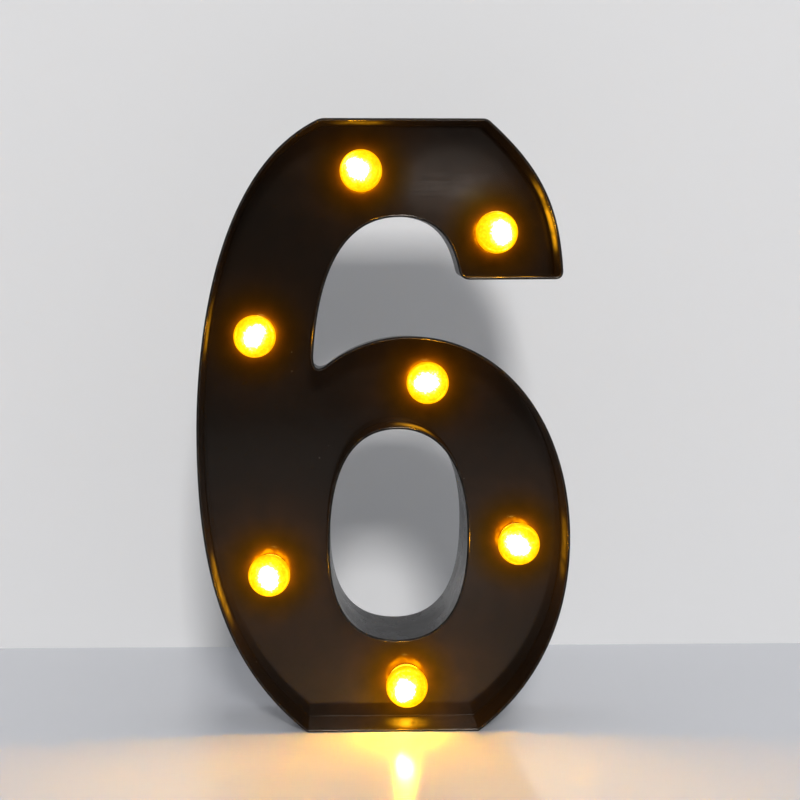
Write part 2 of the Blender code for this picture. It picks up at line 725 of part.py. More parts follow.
def make_battery_door():
    obj = part("battery_door", plate("battery_door", [door_loop()], COVER_FRONT_Y, COVER_REAR_Y),
               "cover_black")
    tab_y = (COVER_FRONT_Y - GAP - DOOR_TAB_THICKNESS, COVER_FRONT_Y - GAP)
    tabs, risers = [], []
    for side in (-1, 1):
        x_span = centred(WELL_X + side * TAB_SPREAD, DOOR_TAB_WIDTH)
        tabs.append((x_span, tab_y, (DOOR_LOW_Z - DOOR_TAB_REACH, DOOR_LOW_Z + DOOR_RISER)))
        risers.append((x_span, (tab_y[0], COVER_FRONT_Y + COVER_THICKNESS / 2),
                       (DOOR_LOW_Z + WELL_LEDGE / 2, DOOR_LOW_Z + DOOR_RISER)))
    ridges = []
    for index in range(RIDGE_COUNT):
        z = DOOR_LOW_Z + DOOR_LENGTH - (2 * index + 1) * RIDGE_WIDTH - RIDGE_WIDTH / 2
        ridges.append((centred(WELL_X, TONGUE_WIDTH - 2 * RIDGE_WIDTH),
                       (COVER_REAR_Y - GAP, COVER_REAR_Y + RIDGE_HEIGHT), centred(z, RIDGE_WIDTH)))
    join(obj, boxes("door_risers", risers))
    join(obj, boxes("door_tabs", tabs))
    join(obj, boxes("latch_ridges", ridges))
    hang_on(obj, empty_at("door_hinge", (WELL_X, COVER_REAR_Y, DOOR_LOW_Z)))
    return obj


def make_switch():
    can_x, can_z = centred(SWITCH_X, CAN_LENGTH), centred(SWITCH_Z, CAN_WIDTH)
    inner_x = centred(SWITCH_X, CAN_LENGTH - 2 * CAN_WALL)
    inner_z = centred(SWITCH_Z, CAN_WIDTH - 2 * CAN_WALL)
    can = part("switch_can", boxes("switch_can", [(can_x, (CAN_FRONT_Y, CAN_REAR_Y), can_z)]),
               "switch_steel")
    join(can, boxes("switch_ears", [(centred(SWITCH_X, EAR_SPAN),
                                     (CAN_REAR_Y - EAR_THICKNESS, CAN_REAR_Y), can_z)]))
    cut(can, boxes("can_hollow", [(inner_x, (CAN_FRONT_Y - OVERRUN, CAN_REAR_Y - EAR_THICKNESS),
                                   inner_z)]))
    cut(can, boxes("can_slot", [(centred(SWITCH_X, SLOT_LENGTH), (CAN_FRONT_Y, CAN_REAR_Y + OVERRUN),
                                 centred(SWITCH_Z, SLOT_WIDTH))]))
    cut(can, rods("ear_holes", [(SWITCH_X + side * POST_SPREAD, SWITCH_Z) for side in (-1, 1)],
                  POST_RADIUS + GAP, CAN_FRONT_Y, CAN_REAR_Y + OVERRUN, BOSS_STEPS))

    base_x = centred(SWITCH_X, CAN_LENGTH - 2 * CAN_WALL - 2 * GAP)
    base_z = centred(SWITCH_Z, CAN_WIDTH - 2 * CAN_WALL - 2 * GAP)
    base = part("switch_base", boxes("switch_base", [(
        base_x, (CAN_FRONT_Y, CAN_FRONT_Y + BASE_THICKNESS), base_z)]), "phenolic_brown")
    offsets = [(index - (TERMINAL_COUNT - 1) / 2) * TERMINAL_PITCH for index in range(TERMINAL_COUNT)]
    cut(base, boxes("terminal_slots", [(
        centred(SWITCH_X + offset, TERMINAL_THICKNESS + 2 * GAP),
        (CAN_FRONT_Y - OVERRUN, CAN_FRONT_Y + BASE_THICKNESS + OVERRUN),
        centred(SWITCH_Z, TERMINAL_WIDTH + 2 * GAP)) for offset in offsets]))

    for number, offset in enumerate(offsets, start=1):
        name = f"switch_terminal_{number}"
        pad = boxes(name, [(centred(SWITCH_X + offset, PAD_LENGTH), (PAD_Y, PAD_Y + PAD_THICKNESS),
                            centred(SWITCH_Z, PAD_WIDTH))])
        join(part(name, pad, "contact_nickel"), boxes(f"{name}_pin", [(
            centred(SWITCH_X + offset, TERMINAL_THICKNESS), (TERMINAL_Y, PAD_Y + PAD_THICKNESS / 2),
            centred(SWITCH_Z, TERMINAL_WIDTH))]))

    slider_x = SWITCH_X + SWITCH_TRAVEL / 2
    slider = part("switch_slider", boxes("switch_slider", [(
        centred(slider_x, BLOCK_LENGTH), (BLOCK_FRONT_Y, BLOCK_REAR_Y),
        centred(SWITCH_Z, CAN_WIDTH - 2 * CAN_WALL - 2 * GAP))]), "switch_black")
    join(slider, boxes("slider_stem", [(
        centred(slider_x, STEM_LENGTH), (BLOCK_REAR_Y - GAP, COVER_REAR_Y + STEM_PROUD),
        centred(SWITCH_Z, STEM_WIDTH))]))
    hang_on(slider, empty_at("switch_slide", (slider_x, COVER_REAR_Y, SWITCH_Z)))


def cap_profile():
    """Cap from the globe's top down its outside, round the stem's end and up the inside."""
    inner_radius = GLOBE_RADIUS - CAP_WALL
    bore = LED_FLANGE_RADIUS + GAP
    stem_end = -(FLOOR_THICKNESS + CAP_STEM_REACH)
    outer_end = math.pi - math.asin(CAP_WAIST_RADIUS / GLOBE_RADIUS)
    inner_end = math.pi - math.asin(bore / inner_radius)
    outer = [(GLOBE_RADIUS * math.sin(a), GLOBE_HEIGHT + GLOBE_RADIUS * math.cos(a))
             for a in np.linspace(0.0, outer_end, GLOBE_ARC_STEPS + 1)]
    inner = [(inner_radius * math.sin(a), GLOBE_HEIGHT + inner_radius * math.cos(a))
             for a in np.linspace(inner_end, 0.0, GLOBE_ARC_STEPS)]
    flange_top = GAP + CAP_FLANGE_THICKNESS
    neck = [(CAP_WAIST_RADIUS, flange_top), (CAP_FLANGE_RADIUS, flange_top),
            (CAP_FLANGE_RADIUS, GAP), (CAP_STEM_RADIUS, GAP),
            (CAP_STEM_RADIUS, stem_end), (bore, stem_end)]
    return outer + neck + inner


def led_profile():
    """Epoxy body with its dome to the front and its flange at the back."""
    flange_low = -(FLOOR_THICKNESS + CAP_STEM_REACH)
    dome_base = flange_low + LED_LENGTH - LED_RADIUS
    dome = [(LED_RADIUS * math.sin(a), dome_base + LED_RADIUS * math.cos(a))
            for a in np.linspace(0.0, math.pi / 2, LED_DOME_STEPS + 1)]
    flange_high = flange_low + LED_FLANGE_THICKNESS
    return dome + [(LED_RADIUS, flange_high), (LED_FLANGE_RADIUS, flange_high),
                   (LED_FLANGE_RADIUS, flange_low), (0.0, flange_low)]


def retainer_profile():
    """Push-on cup: its ring goes round the cap's stem, and its plate backs the LED."""
    bore = CAP_STEM_RADIUS + GAP
    mouth = -(FLOOR_THICKNESS + GAP)
    plate_high = -(FLOOR_THICKNESS + CAP_STEM_REACH + GAP)
    plate_low = plate_high - RETAINER_PLATE
    return [(0.0, plate_high), (bore, plate_high), (bore, mouth), (bore + RETAINER_WALL, mouth),
            (bore + RETAINER_WALL, plate_low), (0.0, plate_low)]


def make_bulbs():
    """A cap, an LED and a retainer at each place, the LED's leads square to the wires."""
    route = pair_points()
    normals = sideways(route)
    lead_low = -(FLOOR_THICKNESS + CAP_STEM_REACH + LED_LEAD_REACH)
    lead_high = -(FLOOR_THICKNESS + CAP_STEM_REACH - LED_FLANGE_THICKNESS / 2)
    leads = boxes("led_leads", [(centred(side * LED_LEAD_PITCH / 2, LED_LEAD_WIDTH),
                                 centred(0.0, LED_LEAD_WIDTH),
                                 (lead_low, lead_high)) for side in (-1, 1)])
    slot = boxes("lead_slot", [(centred(0.0, LED_LEAD_PITCH + LED_LEAD_WIDTH + 2 * GAP),
                                centred(0.0, LED_LEAD_WIDTH + 2 * GAP),
                                (lead_low, lead_high))])
    for number, shares in enumerate(BULB_SHARES, start=1):
        x, z = place(shares)
        nearest = np.argmin(np.hypot(route[:, 0] - x, route[:, 2] - z))
        turn = math.atan2(-normals[nearest, 2], normals[nearest, 0])
        cap = turned(f"bulb_cap_{number}", cap_profile(), GLOBE_STEPS, "bulb_amber")
        led = turned(f"led_{number}", led_profile(), SMALL_STEPS, "led_clear")
        retainer = turned(f"led_retainer_{number}", retainer_profile(), HOLE_STEPS, "retainer_white")
        for obj in (cap, led, retainer):
            obj.location = (x, FLOOR_FRONT_Y, z)
            obj.rotation_euler = (math.radians(90), turn, 0.0)
        carry(join(led, leads), led)
        carry(cut(retainer, slot), retainer)


def cell_profile():
    """Cell from its nub down its side; its middle is at the origin."""
    radius, half = CELL_DIAMETER / 2, CELL_LENGTH / 2
    shoulder = half - CELL_NUB_HEIGHT
    return [(0.0, half), (CELL_NUB_RADIUS, half), (CELL_NUB_RADIUS, shoulder),
            (radius - CELL_EDGE, shoulder), (radius, shoulder - CELL_EDGE),
            (radius, CELL_EDGE - half), (radius - CELL_EDGE, -half), (0.0, -half)]


def coil_points(x, z_start, direction):
    """Tapering coil from its wide end at a contact plate to its narrow end at a cell."""
    lead_in = 2 * SPRING_WIRE_RADIUS
    count = round(SPRING_TURNS * COIL_STEPS) + 1
    share = np.linspace(0.0, 1.0, count)
    angle = share * SPRING_TURNS * math.tau
    radius = SPRING_BASE_RADIUS + share * (SPRING_TIP_RADIUS - SPRING_BASE_RADIUS)
    height = lead_in + share * (SPRING_LENGTH - 2 * lead_in)
    turns = np.stack([x + radius * np.cos(angle), CELL_Y + radius * np.sin(angle),
                      z_start + direction * height], axis=1)
    first, last = turns[0].copy(), turns[-1].copy()
    first[2] = z_start
    last[2] = z_start + direction * SPRING_LENGTH
    return np.vstack([first, turns, last])


def print_self_gap(name, points, radius):
    """Least gap between parts of a coil that are more than half a turn apart."""
    apart = COIL_STEPS // 2
    least = min(np.linalg.norm(points[i + apart:] - points[i], axis=1).min()
                for i in range(len(points) - apart))
    print(f"{name}: least gap to itself {(least - 2 * radius) * 1000:.2f} mm")


def make_cells_and_contacts():
    """Two cells side by side, nubs at opposite ends, with their springs and plates."""
    low_plate = WELL_LOW_Z + GAP
    high_plate = WELL_HIGH_Z - GAP - CONTACT_THICKNESS
    cell_low = low_plate + CONTACT_THICKNESS + GAP
    cell_high = high_plate - GAP
    for number, side in ((1, 1), (2, -1)):
        cell = turned(f"battery_{number}", cell_profile(), CELL_STEPS, "cell_label")
        nub_down = side > 0
        middle = cell_low + CELL_LENGTH / 2 if nub_down else cell_high - CELL_LENGTH / 2
        cell.location = (WELL_X + side * CELL_SPREAD, CELL_Y, middle)
        cell.rotation_euler = (math.pi if nub_down else 0.0, 0.0, 0.0)
    y_span = centred(CELL_Y, CONTACT_SIZE)
    for name, side in (("positive_contact", 1), ("negative_contact", -1)):
        x = WELL_X + side * CELL_SPREAD
        flat = boxes(name, [(centred(x, CONTACT_SIZE), y_span, (low_plate, low_plate + CONTACT_THICKNESS))])
        obj = part(name, flat, "contact_nickel")
        join(obj, boxes(f"{name}_tab", [(
            centred(x, CONTACT_TAB_WIDTH), centred(CELL_Y, CONTACT_THICKNESS),
            (WELL_LOW_Z - WELL_WALL - CONTACT_TAB_REACH, low_plate + CONTACT_THICKNESS / 2))]))
    part("bridge_contact", boxes("bridge_contact", [(
        centred(WELL_X, 2 * CELL_SPREAD + CONTACT_SIZE), y_span,
        (high_plate, high_plate + CONTACT_THICKNESS))]), "contact_nickel")
    for name, side, z, direction in (
            ("negative_spring", -1, low_plate + CONTACT_THICKNESS + GAP, 1),
            ("bridge_spring", 1, high_plate - GAP, -1)):
        points = coil_points(WELL_X + side * CELL_SPREAD, z, direction)
        print_self_gap(name, points, SPRING_WIRE_RADIUS)
        tube(name, points, SPRING_WIRE_RADIUS, 1, "contact_nickel")


def lead_route(start, end, shares, rise):
    """Points from start to end; each share row is the way along and the part of the rise."""
    start, end = np.array(start), np.array(end)
    lift = np.array((0.0, rise, 0.0))
    return [start, *(start + along * (end - start) + part_of_rise * lift
                     for along, part_of_rise in shares), end]


def make_wiring():
    tube("supply_wire_red", supply_wire(1), WIRE_RADIUS, 1, "wire_red")
    tube("supply_wire_black", supply_wire(-1), WIRE_RADIUS, 1, "wire_black")

    tab_end = WELL_LOW_Z - WELL_WALL - CONTACT_TAB_REACH - GAP
    under_tip = TERMINAL_Y - GAP - WIRE_RADIUS
    start = (WELL_X + CELL_SPREAD, CELL_Y, tab_end)
    end = (SWITCH_X, under_tip, SWITCH_Z)
    points = smooth_route(lead_route(start, end, RED_LEAD_SHARES, RED_LEAD_RISE), WIRE_STEP)
    tube("battery_lead_red", points, WIRE_RADIUS, 1, "wire_red")

    black = supply_wire(-1)
    led_x, led_z = place(BULB_SHARES[5])
    nearest = np.argmin(np.hypot(black[:, 0] - led_x, black[:, 2] - led_z))
    joint = black[nearest + SPLICE_STEPS] + (0.0, 2 * WIRE_RADIUS + GAP, 0.0)
    start = (WELL_X - CELL_SPREAD, CELL_Y, tab_end)
    points = smooth_route(lead_route(start, joint, BLACK_LEAD_SHARES, WIRE_RADIUS), WIRE_STEP)
    tube("battery_lead_black", points, WIRE_RADIUS, 1, "wire_black")


def make_resistor():
    """Series resistor from the switch's ON terminal down to the red supply wire."""
    x = SWITCH_X + TERMINAL_PITCH
    red = supply_wire(1)
    below = red[(red[:, 2] < SWITCH_Z) & (red[:, 0] < 0.0)]
    order = np.argsort(below[:, 0])
    wire_z = np.interp(x, below[order, 0], below[order, 2])
    high, low = SWITCH_Z + RESISTOR_OVERHANG, wire_z - RESISTOR_OVERHANG
    middle, half = (high + low) / 2, RESISTOR_LENGTH / 2
    cap, waist = RESISTOR_RADIUS, RESISTOR_RADIUS - RESISTOR_WAIST
    lead = RESISTOR_LEAD_RADIUS
    profile = [(0.0, high - middle), (lead, high - middle), (lead, half), (waist, half),
               (cap, half - waist), (cap, half - 2 * waist), (waist, half - 3 * waist),
               (waist, 3 * waist - half), (cap, 2 * waist - half), (cap, waist - half),
               (waist, -half), (lead, -half), (lead, low - middle), (0.0, low - middle)]
    obj = turned("series_resistor", profile, SMALL_STEPS, "resistor_tan")
    obj.location = (x, RESISTOR_Y, middle)


def main():
    clear_scene()
    make_front_shell()
    make_back_cover()
    make_cover_screws()
    make_battery_door()
    make_switch()
    make_bulbs()
    make_cells_and_contacts()
    make_wiring()
    make_resistor()


main()
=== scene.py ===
"""Looks of a battery marquee light in the shape of a numeral 6.

Metres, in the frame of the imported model: X to the right as seen from the open front, Y from the
front to the back, Z up from the plane of the foot. A black moulded tray carries seven lit bulb
caps, and a screwed cover with the battery door and the slide switch closes its back.
"""

import math

import bmesh
import bpy
import numpy as np
from mathutils import Matrix, Vector
from mathutils.geometry import tessellate_polygon


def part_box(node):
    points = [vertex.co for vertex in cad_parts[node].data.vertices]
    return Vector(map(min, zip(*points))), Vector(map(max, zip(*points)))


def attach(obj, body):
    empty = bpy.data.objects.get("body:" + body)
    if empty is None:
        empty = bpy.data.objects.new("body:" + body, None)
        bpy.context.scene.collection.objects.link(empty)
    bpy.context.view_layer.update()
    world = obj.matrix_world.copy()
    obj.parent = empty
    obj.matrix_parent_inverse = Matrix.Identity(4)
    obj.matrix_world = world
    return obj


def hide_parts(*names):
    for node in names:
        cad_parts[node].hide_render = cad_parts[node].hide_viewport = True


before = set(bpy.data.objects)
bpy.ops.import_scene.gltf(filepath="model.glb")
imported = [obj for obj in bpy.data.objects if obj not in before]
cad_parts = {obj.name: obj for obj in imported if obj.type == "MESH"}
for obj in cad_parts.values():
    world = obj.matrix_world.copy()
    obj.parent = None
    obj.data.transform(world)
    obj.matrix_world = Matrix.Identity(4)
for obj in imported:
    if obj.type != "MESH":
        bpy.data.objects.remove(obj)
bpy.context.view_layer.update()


def node_centre(node):
    """Middle of a node's box."""
    return np.array(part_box(node)).mean(axis=0)


def centres(kind, count):
    """Middles, in X and Z, of the numbered nodes of a kind."""
    return [node_centre(f"{kind}_{number}")[[0, 2]] for number in range(1, count + 1)]


# Sizes that the moulding repeats from the construction
GAP = 0.0003
BODY_DRAFT = 0.0006
RIM_WIDTH = 0.0009
TRAY_DRAFT = 0.0002
FLOOR_THICKNESS = 0.0018
REAR_WALL = 0.0013
COVER_RECESS = 0.0015
COVER_THICKNESS = 0.0016
BOSS_RADIUS = 0.0030
BOSS_BORE_DEPTH = 0.0070
KEYHOLE_RADIUS = 0.0040
KEYHOLE_SLOT_RADIUS = 0.0019
KEYHOLE_RISE = 0.0075
WELL_WALL = 0.0016
WELL_LEDGE = 0.0008

# The body's box, and the levels from the front to the back
BODY_LOW, BODY_HIGH = (np.array(corner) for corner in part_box("front_shell"))
DOOR_LOW, DOOR_HIGH = (np.array(corner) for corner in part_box("battery_door"))
CAP_LOW, CAP_HIGH = (np.array(corner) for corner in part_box("bulb_cap_1"))
BODY_WIDTH = BODY_HIGH[0] - BODY_LOW[0] - 2 * BODY_DRAFT
BODY_HEIGHT = BODY_HIGH[2] - BODY_DRAFT
FRONT_Y, BACK_Y = BODY_LOW[1], BODY_HIGH[1]
BODY_DEPTH = BACK_Y - FRONT_Y
COVER_REAR_Y = BACK_Y - COVER_RECESS
COVER_FRONT_Y = COVER_REAR_Y - COVER_THICKNESS
BOSS_TOP_Y = COVER_FRONT_Y - GAP
WELL_FRONT_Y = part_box("back_cover")[0][1]
FLOOR_REAR_Y = 0.0
FLOOR_FRONT_Y = FLOOR_REAR_Y - FLOOR_THICKNESS

# Shares of the body's width from its middle and of its height from the foot. An outline's row
# is its starting point and the two handles of the curve to the next row's point, or the point
# alone where the run is straight. The body lies to the left of the travel.
OUTLINE_SHARES = (
    ((-0.208, 0.000),),
    ((0.255, 0.000), (0.418, 0.074), (0.500, 0.186)),
    ((0.500, 0.317), (0.500, 0.504), (0.327, 0.650)),
    ((0.067, 0.650), (-0.031, 0.650), (-0.126, 0.625)),
    ((-0.191, 0.583), (-0.188, 0.673), (-0.165, 0.842)),
    ((0.041, 0.842), (0.170, 0.842), (0.190, 0.782)),
    ((0.204, 0.741),),
    ((0.478, 0.742), (0.470, 0.859), (0.420, 0.921)),
    ((0.273, 1.000),),
    ((-0.168, 1.000), (-0.493, 0.910), (-0.500, 0.552)),
    ((-0.500, 0.490), (-0.500, 0.276), (-0.439, 0.114)),
)
COUNTER_SHARES = (
    ((0.037, 0.499), (0.141, 0.499), (0.223, 0.448)),
    ((0.223, 0.327), (0.223, 0.262), (0.210, 0.153)),
    ((0.037, 0.153), (-0.127, 0.153), (-0.146, 0.242)),
    ((-0.146, 0.309), (-0.146, 0.388), (-0.124, 0.499)),
)
KEYHOLE_SHARES = (0.030, 0.941)

# How far each corner of the outline is cut back and bridged by a curve
CORNER_SETBACKS = {0: 0.0008, 1: 0.0008, 4: 0.0082, 6: 0.0034, 7: 0.0032, 8: 0.0016, 9: 0.0016}

# Fineness of the surfaces
CURVE_STEPS = 44
CORNER_STEPS = 10
ROUND_STEPS = 6
HOLE_STEPS = 40
WELD = 0.000002
SHARP_ANGLE = math.radians(32)
SOFT_ANGLE = math.radians(60)

# Moulded edges, and how much the moulding's outside draws in towards the back
OUTSIDE_TAPER = 0.0014
COUNTER_TAPER = 0.0
FOOT_BLEND = 0.006
FLOOR_FILLET = 0.00009
CREASE_MARK = 0.02
RIM_ROUND = 0.00026
BACK_ROUND = 0.00035
PANEL_ROUND = 0.00025
SUPPORT = 0.00025
BLOCK_CORNER = 1.4

# Bulb caps
CAP_COUNT = 7
CAP_CENTRES = centres("bulb_cap", CAP_COUNT)
GLOBE_RADIUS = (CAP_HIGH[0] - CAP_LOW[0]) / 2
GLOBE_HEIGHT = 0.0105
GLOBE_Y = FLOOR_FRONT_Y - GLOBE_HEIGHT
CAP_WALL = 0.0011
CAP_WAIST_RADIUS = 0.0050
CAP_FLANGE_RADIUS = 0.0064
CAP_FLANGE_THICKNESS = 0.0010
CAP_STEM_RADIUS = 0.0045
CAP_STEM_BEYOND = 0.0033
CAP_BORE_RADIUS = 0.0032
GLOBE_ROWS = 56
GLOBE_COLUMNS = 112
INSIDE_ROWS = 12
PRISM_COUNT = 22
PRISM_TWIST = 13.0
PRISM_DEPTH = 0.00022
PRISM_RISE = (0.25, 0.7)
PRISM_FALL = (1.2, 1.5)
SIDE_BAND = 0.0018
AMBER_IOR = 1.49

# Light of the caps: its strength, its colours along the glow mark, and the marks of the core, of
# the lobe beside it, of the arcs and the dim rim, and of the prisms. Lengths are shares of the
# globe's radius. The core turns from cap to cap, and each has its own place.
GLOW_STRENGTH = 800.0
GLOW_STOPS = (
    (0.0, (0.0007, 0.00022, 0.0)), (0.14, (0.0013, 0.00054, 0.0)), (0.30, (0.0018, 0.00084, 0.0)),
    (0.48, (0.0028, 0.0013, 0.00001)), (0.62, (0.009, 0.004, 0.0003)),
    (0.73, (0.14, 0.06, 0.0036)), (0.88, (1.0, 0.46, 0.008)))
GLOW_BASE = 0.32
CORE_GLOW = 0.66
CORE_SHAPE = (0.92, 1.10)
CORE_REACH = 0.62
CORE_FALL = 2.6
CORE_TURN = 2.4
LOBE_GLOW = 0.22
LOBE_OFFSET = 0.42
LOBE_REACH = 0.20
ARC_GLOW = 0.14
ARC_RADIUS = 0.88
ARC_WIDTH = 0.03
RIM_DIMMING = 0.11
RIM_SPAN = (0.93, 0.99)
PRISM_GLOW = 0.02
CORE_OFFSETS = ((-0.16, 0.05), (0.14, -0.02), (0.03, 0.04), (-0.08, 0.08), (-0.12, 0.07),
                (-0.02, 0.0), (-0.14, 0.04))

# Light that the caps spill on the tray: reaches, colours, and each cap's weight. A streak is
# the way from a cap to the wall that it lights, and its strength; it fades between two
# distances from the rim, and between two from the floor.
SPILL_NEAR = 0.0013
SPILL_FAR = 0.0092
NEAR_LIGHT = (0.300, 0.062, 0.0)
FAR_LIGHT = (0.040, 0.0125, 0.0)
SPILL_WEIGHTS = (0.8, 0.9, 0.6, 1.0, 1.2, 1.6, 2.5)
# Within these distances from a globe the black is painted amber, a painted tint in place of the
# cap's light
PAINTED_TINT_FULL = 0.0045
PAINTED_TINT_END = 0.0130
STREAKS = ((0.0087, 0.34), (0.0120, 0.75), (0.0090, 0.26), (0.0087, 0.34), (0.0095, 0.14),
           (0.0114, 0.42), (0.0030, 4.2))
STREAK_WIDTH = 0.0015
STREAK_FROM_RIM = (0.001, 0.007)
STREAK_FROM_FLOOR = (0.009, 0.003)
STREAK_LIGHT = (1.0, 0.42, 0.008)

# Black moulding: its mirroring and that of the floor's crease, the brown cast of what it
# mirrors, and the walls' roughness
MIRRORING = 0.36
CREASE_MIRRORING = 0.03
BROWN_TINT = (1.0, 0.90, 0.80)
WALL_ROUGHNESS = 0.12

# Screws
SCREW_COUNT = 8
SCREW_CENTRES = centres("cover_screw", SCREW_COUNT)
SCREW_LENGTH = 0.0080
SCREW_RADIUS = 0.0011
SCREW_HEAD_RADIUS = 0.0023
SCREW_HEAD_HEIGHT = 0.0011
SCREW_HEAD_FLAT = 0.55 * SCREW_HEAD_RADIUS
SCREW_HEAD_SIDE = 0.35
SCREW_PITCH = 0.0008
SCREW_COLUMNS = 32
SCREW_TURN = 1.9
THREAD_DEPTH = 0.22 * SCREW_RADIUS
THREAD_ROWS = 60
RECESS_WIDTH = 0.0009
RECESS_DEPTH = 0.0008

# Battery well, cells and springs
CELL_DIAMETER = 0.0145
CELL_LENGTH = 0.0505
CELL_NUB_RADIUS = 0.00275
CELL_NUB_HEIGHT = 0.0010
CELL_EDGE = 0.0006
CELL_COLUMNS = 64
CELL_BAND = 0.24 * CELL_LENGTH
CONTACT_THICKNESS = 0.0004
CONTACT_TAB_WIDTH = 0.0030
WELL_FLOOR = 0.0012
WELL_FLOOR_Y = WELL_FRONT_Y + WELL_FLOOR
CELL_Y = WELL_FLOOR_Y + GAP + CELL_DIAMETER / 2
CELL_SPREAD = (CELL_DIAMETER + GAP) / 2
SPRING_LENGTH = 0.0045
SPRING_WIRE_RADIUS = 0.00025
SPRING_BASE_RADIUS = 0.0040
SPRING_TIP_RADIUS = 0.0023
SPRING_TURNS = 3.5
SPRING_FLAT = 0.06
SPRING_SIDES = 10
COIL_STEPS = 36

# Battery door
DOOR_TAB_WIDTH = 0.0050
DOOR_TAB_THICKNESS = 0.0009
DOOR_TAB_REACH = 0.0012
DOOR_TAB_INSET = 0.0010
DOOR_RISER = 0.0015
DOOR_Z_LOW = DOOR_LOW[2] + DOOR_TAB_REACH
TONGUE_WIDTH = 0.0100
TONGUE_LENGTH = 0.0070
TONGUE_SLIT = 0.0008
RIDGE_HEIGHT = 0.0006
RIDGE_WIDTH = 0.0009
RIDGE_COUNT = 3
CHEVRON_COUNT = 2
CHEVRON_HALF = 3 * RIDGE_WIDTH
CHEVRON_HEIGHT = 2.2 * RIDGE_WIDTH
THUMB_NOTCH_LENGTH = 0.0030
THUMB_NOTCH_DEPTH = 0.0009
WELL_X = (DOOR_LOW[0] + DOOR_HIGH[0]) / 2
WELL_Z = (DOOR_Z_LOW + DOOR_HIGH[2]) / 2
POCKET_LENGTH = DOOR_HIGH[2] - DOOR_Z_LOW + 2 * GAP
TAB_SPREAD = (DOOR_HIGH[0] - DOOR_LOW[0] - DOOR_TAB_WIDTH) / 2 - DOOR_TAB_INSET
TAB_SWING = math.hypot(COVER_THICKNESS + GAP + DOOR_TAB_THICKNESS, DOOR_TAB_REACH)

# Slide switch, and the words beside it
SWITCH_TRAVEL = 0.0030
STEM_LENGTH = 0.0034
STEM_WIDTH = 0.0028
RIB_STEPS = (-1.5, -0.5, 0.5, 1.5)
CAN_LENGTH = 0.0120
EAR_THICKNESS = 0.0006
POST_RADIUS = 0.0011
POST_HEAD_RADIUS = 0.0019
POST_HEAD_THICKNESS = 0.0006
POST_SPREAD = CAN_LENGTH / 2 + GAP + POST_HEAD_RADIUS
SLOT_LENGTH = STEM_LENGTH + SWITCH_TRAVEL + 2 * GAP
SLOT_WIDTH = STEM_WIDTH + 2 * GAP
SWITCH_X, _, SWITCH_Z = node_centre("switch_can")
WORD_SIZE = 0.0029
WORD_RELIEF = 0.0001
WORD_CLEARANCE = 0.0032

# Resistor: its length, and its bands' places as shares of it with their colours
RESISTOR_LENGTH = 0.0063
RESISTOR_BANDS = ((-0.30, (0.050, 0.250, 0.400)), (-0.12, (0.550, 0.060, 0.030)),
                  (0.06, (0.090, 0.030, 0.012)), (0.30, (0.500, 0.330, 0.060)))

# Camera: where it stands, its lens in millimetres and its turn in degrees
CAMERA_PLACE = (-0.0157, -0.6714, 0.1665)
CAMERA_LENS = 82.1
CAMERA_SENSOR = 36.0
CAMERA_TILT = 4.074
CAMERA_PAN = 1.882

# Room, its light, the direction in which it is dark, and how dark
WALL_Y = 0.129
SKY_COLOUR = (0.97, 0.985, 1.0)
SKY_STRENGTH = 0.60
DARK_STRENGTH = 0.06
DARK_QUARTER = (-0.12, -0.989, 0.08)
DARK_SPAN = (0.97, 0.55)
ROOM_HALF_WIDTH = 1.6
ROOM_HEIGHT = 1.8
TABLE_FRONT_Y = -1.2

# Lamps: place, size, watts and colour, and the point that they face
LAMPS = {"key_lamp": ((0.157, -3.6, 1.638), (0.55, 0.55), 91.0, (1.0, 0.985, 0.97)),
         "side_lamp": ((0.158, -2.2, 0.301), (0.12, 0.04), 0.075, (1.0, 0.98, 1.0))}
LAMP_AIM = (0.0, 0.0, 0.11)


def place(shares):
    """Point, in X and Z, at shares of the body's width and height."""
    return np.array(shares[:2]) * (BODY_WIDTH, BODY_HEIGHT)


def curve_run(row, end_shares):
    """A cubic curve, or evenly spaced points of a straight run, to the next row's start."""
    start, end = place(row[0]), place(end_shares)
    t = np.linspace(0.0, 1.0, CURVE_STEPS + 1)[:, None]
    if len(row) == 1:
        return (1 - t) * start + t * end
    first, second = place(row[1]), place(row[2])
    return ((1 - t) ** 3 * start + 3 * (1 - t) ** 2 * t * first
            + 3 * (1 - t) * t ** 2 * second + t ** 3 * end)


def trimmed(points, length):
    """Take a length off the start of a run of points."""
    run = np.concatenate([[0.0], np.cumsum(np.linalg.norm(np.diff(points, axis=0), axis=1))])
    start = [np.interp(length, run, points[:, axis]) for axis in range(2)]
    return np.vstack([start, points[run > length + GAP]])


def outline(rows, setbacks):
    """Closed loop through the rows; a setback softens its corner with a quadratic curve."""
    runs = [curve_run(row, rows[(i + 1) % len(rows)][0]) for i, row in enumerate(rows)]
    points = []
    t = np.linspace(0.0, 1.0, CORNER_STEPS + 1)[:, None]
    for i, run in enumerate(runs):
        if i in setbacks:
            before = trimmed(runs[i - 1][::-1], setbacks[i])[0]
            run = trimmed(run, setbacks[i])
            bend = (1 - t) ** 2 * before + 2 * (1 - t) * t * place(rows[i][0]) + t ** 2 * run[0]
            points.append(bend[:-1])
        after = (i + 1) % len(runs)
        if after in setbacks:
            run = trimmed(run[::-1], setbacks[after])[::-1]
        points.append(run[:-1])
    return np.vstack(points)


def body_loops():
    """The outside's and the counter's loops, each with the taper of its wall."""
    return ((outline(OUTLINE_SHARES, CORNER_SETBACKS), OUTSIDE_TAPER),
            (outline(COUNTER_SHARES, {}), COUNTER_TAPER))


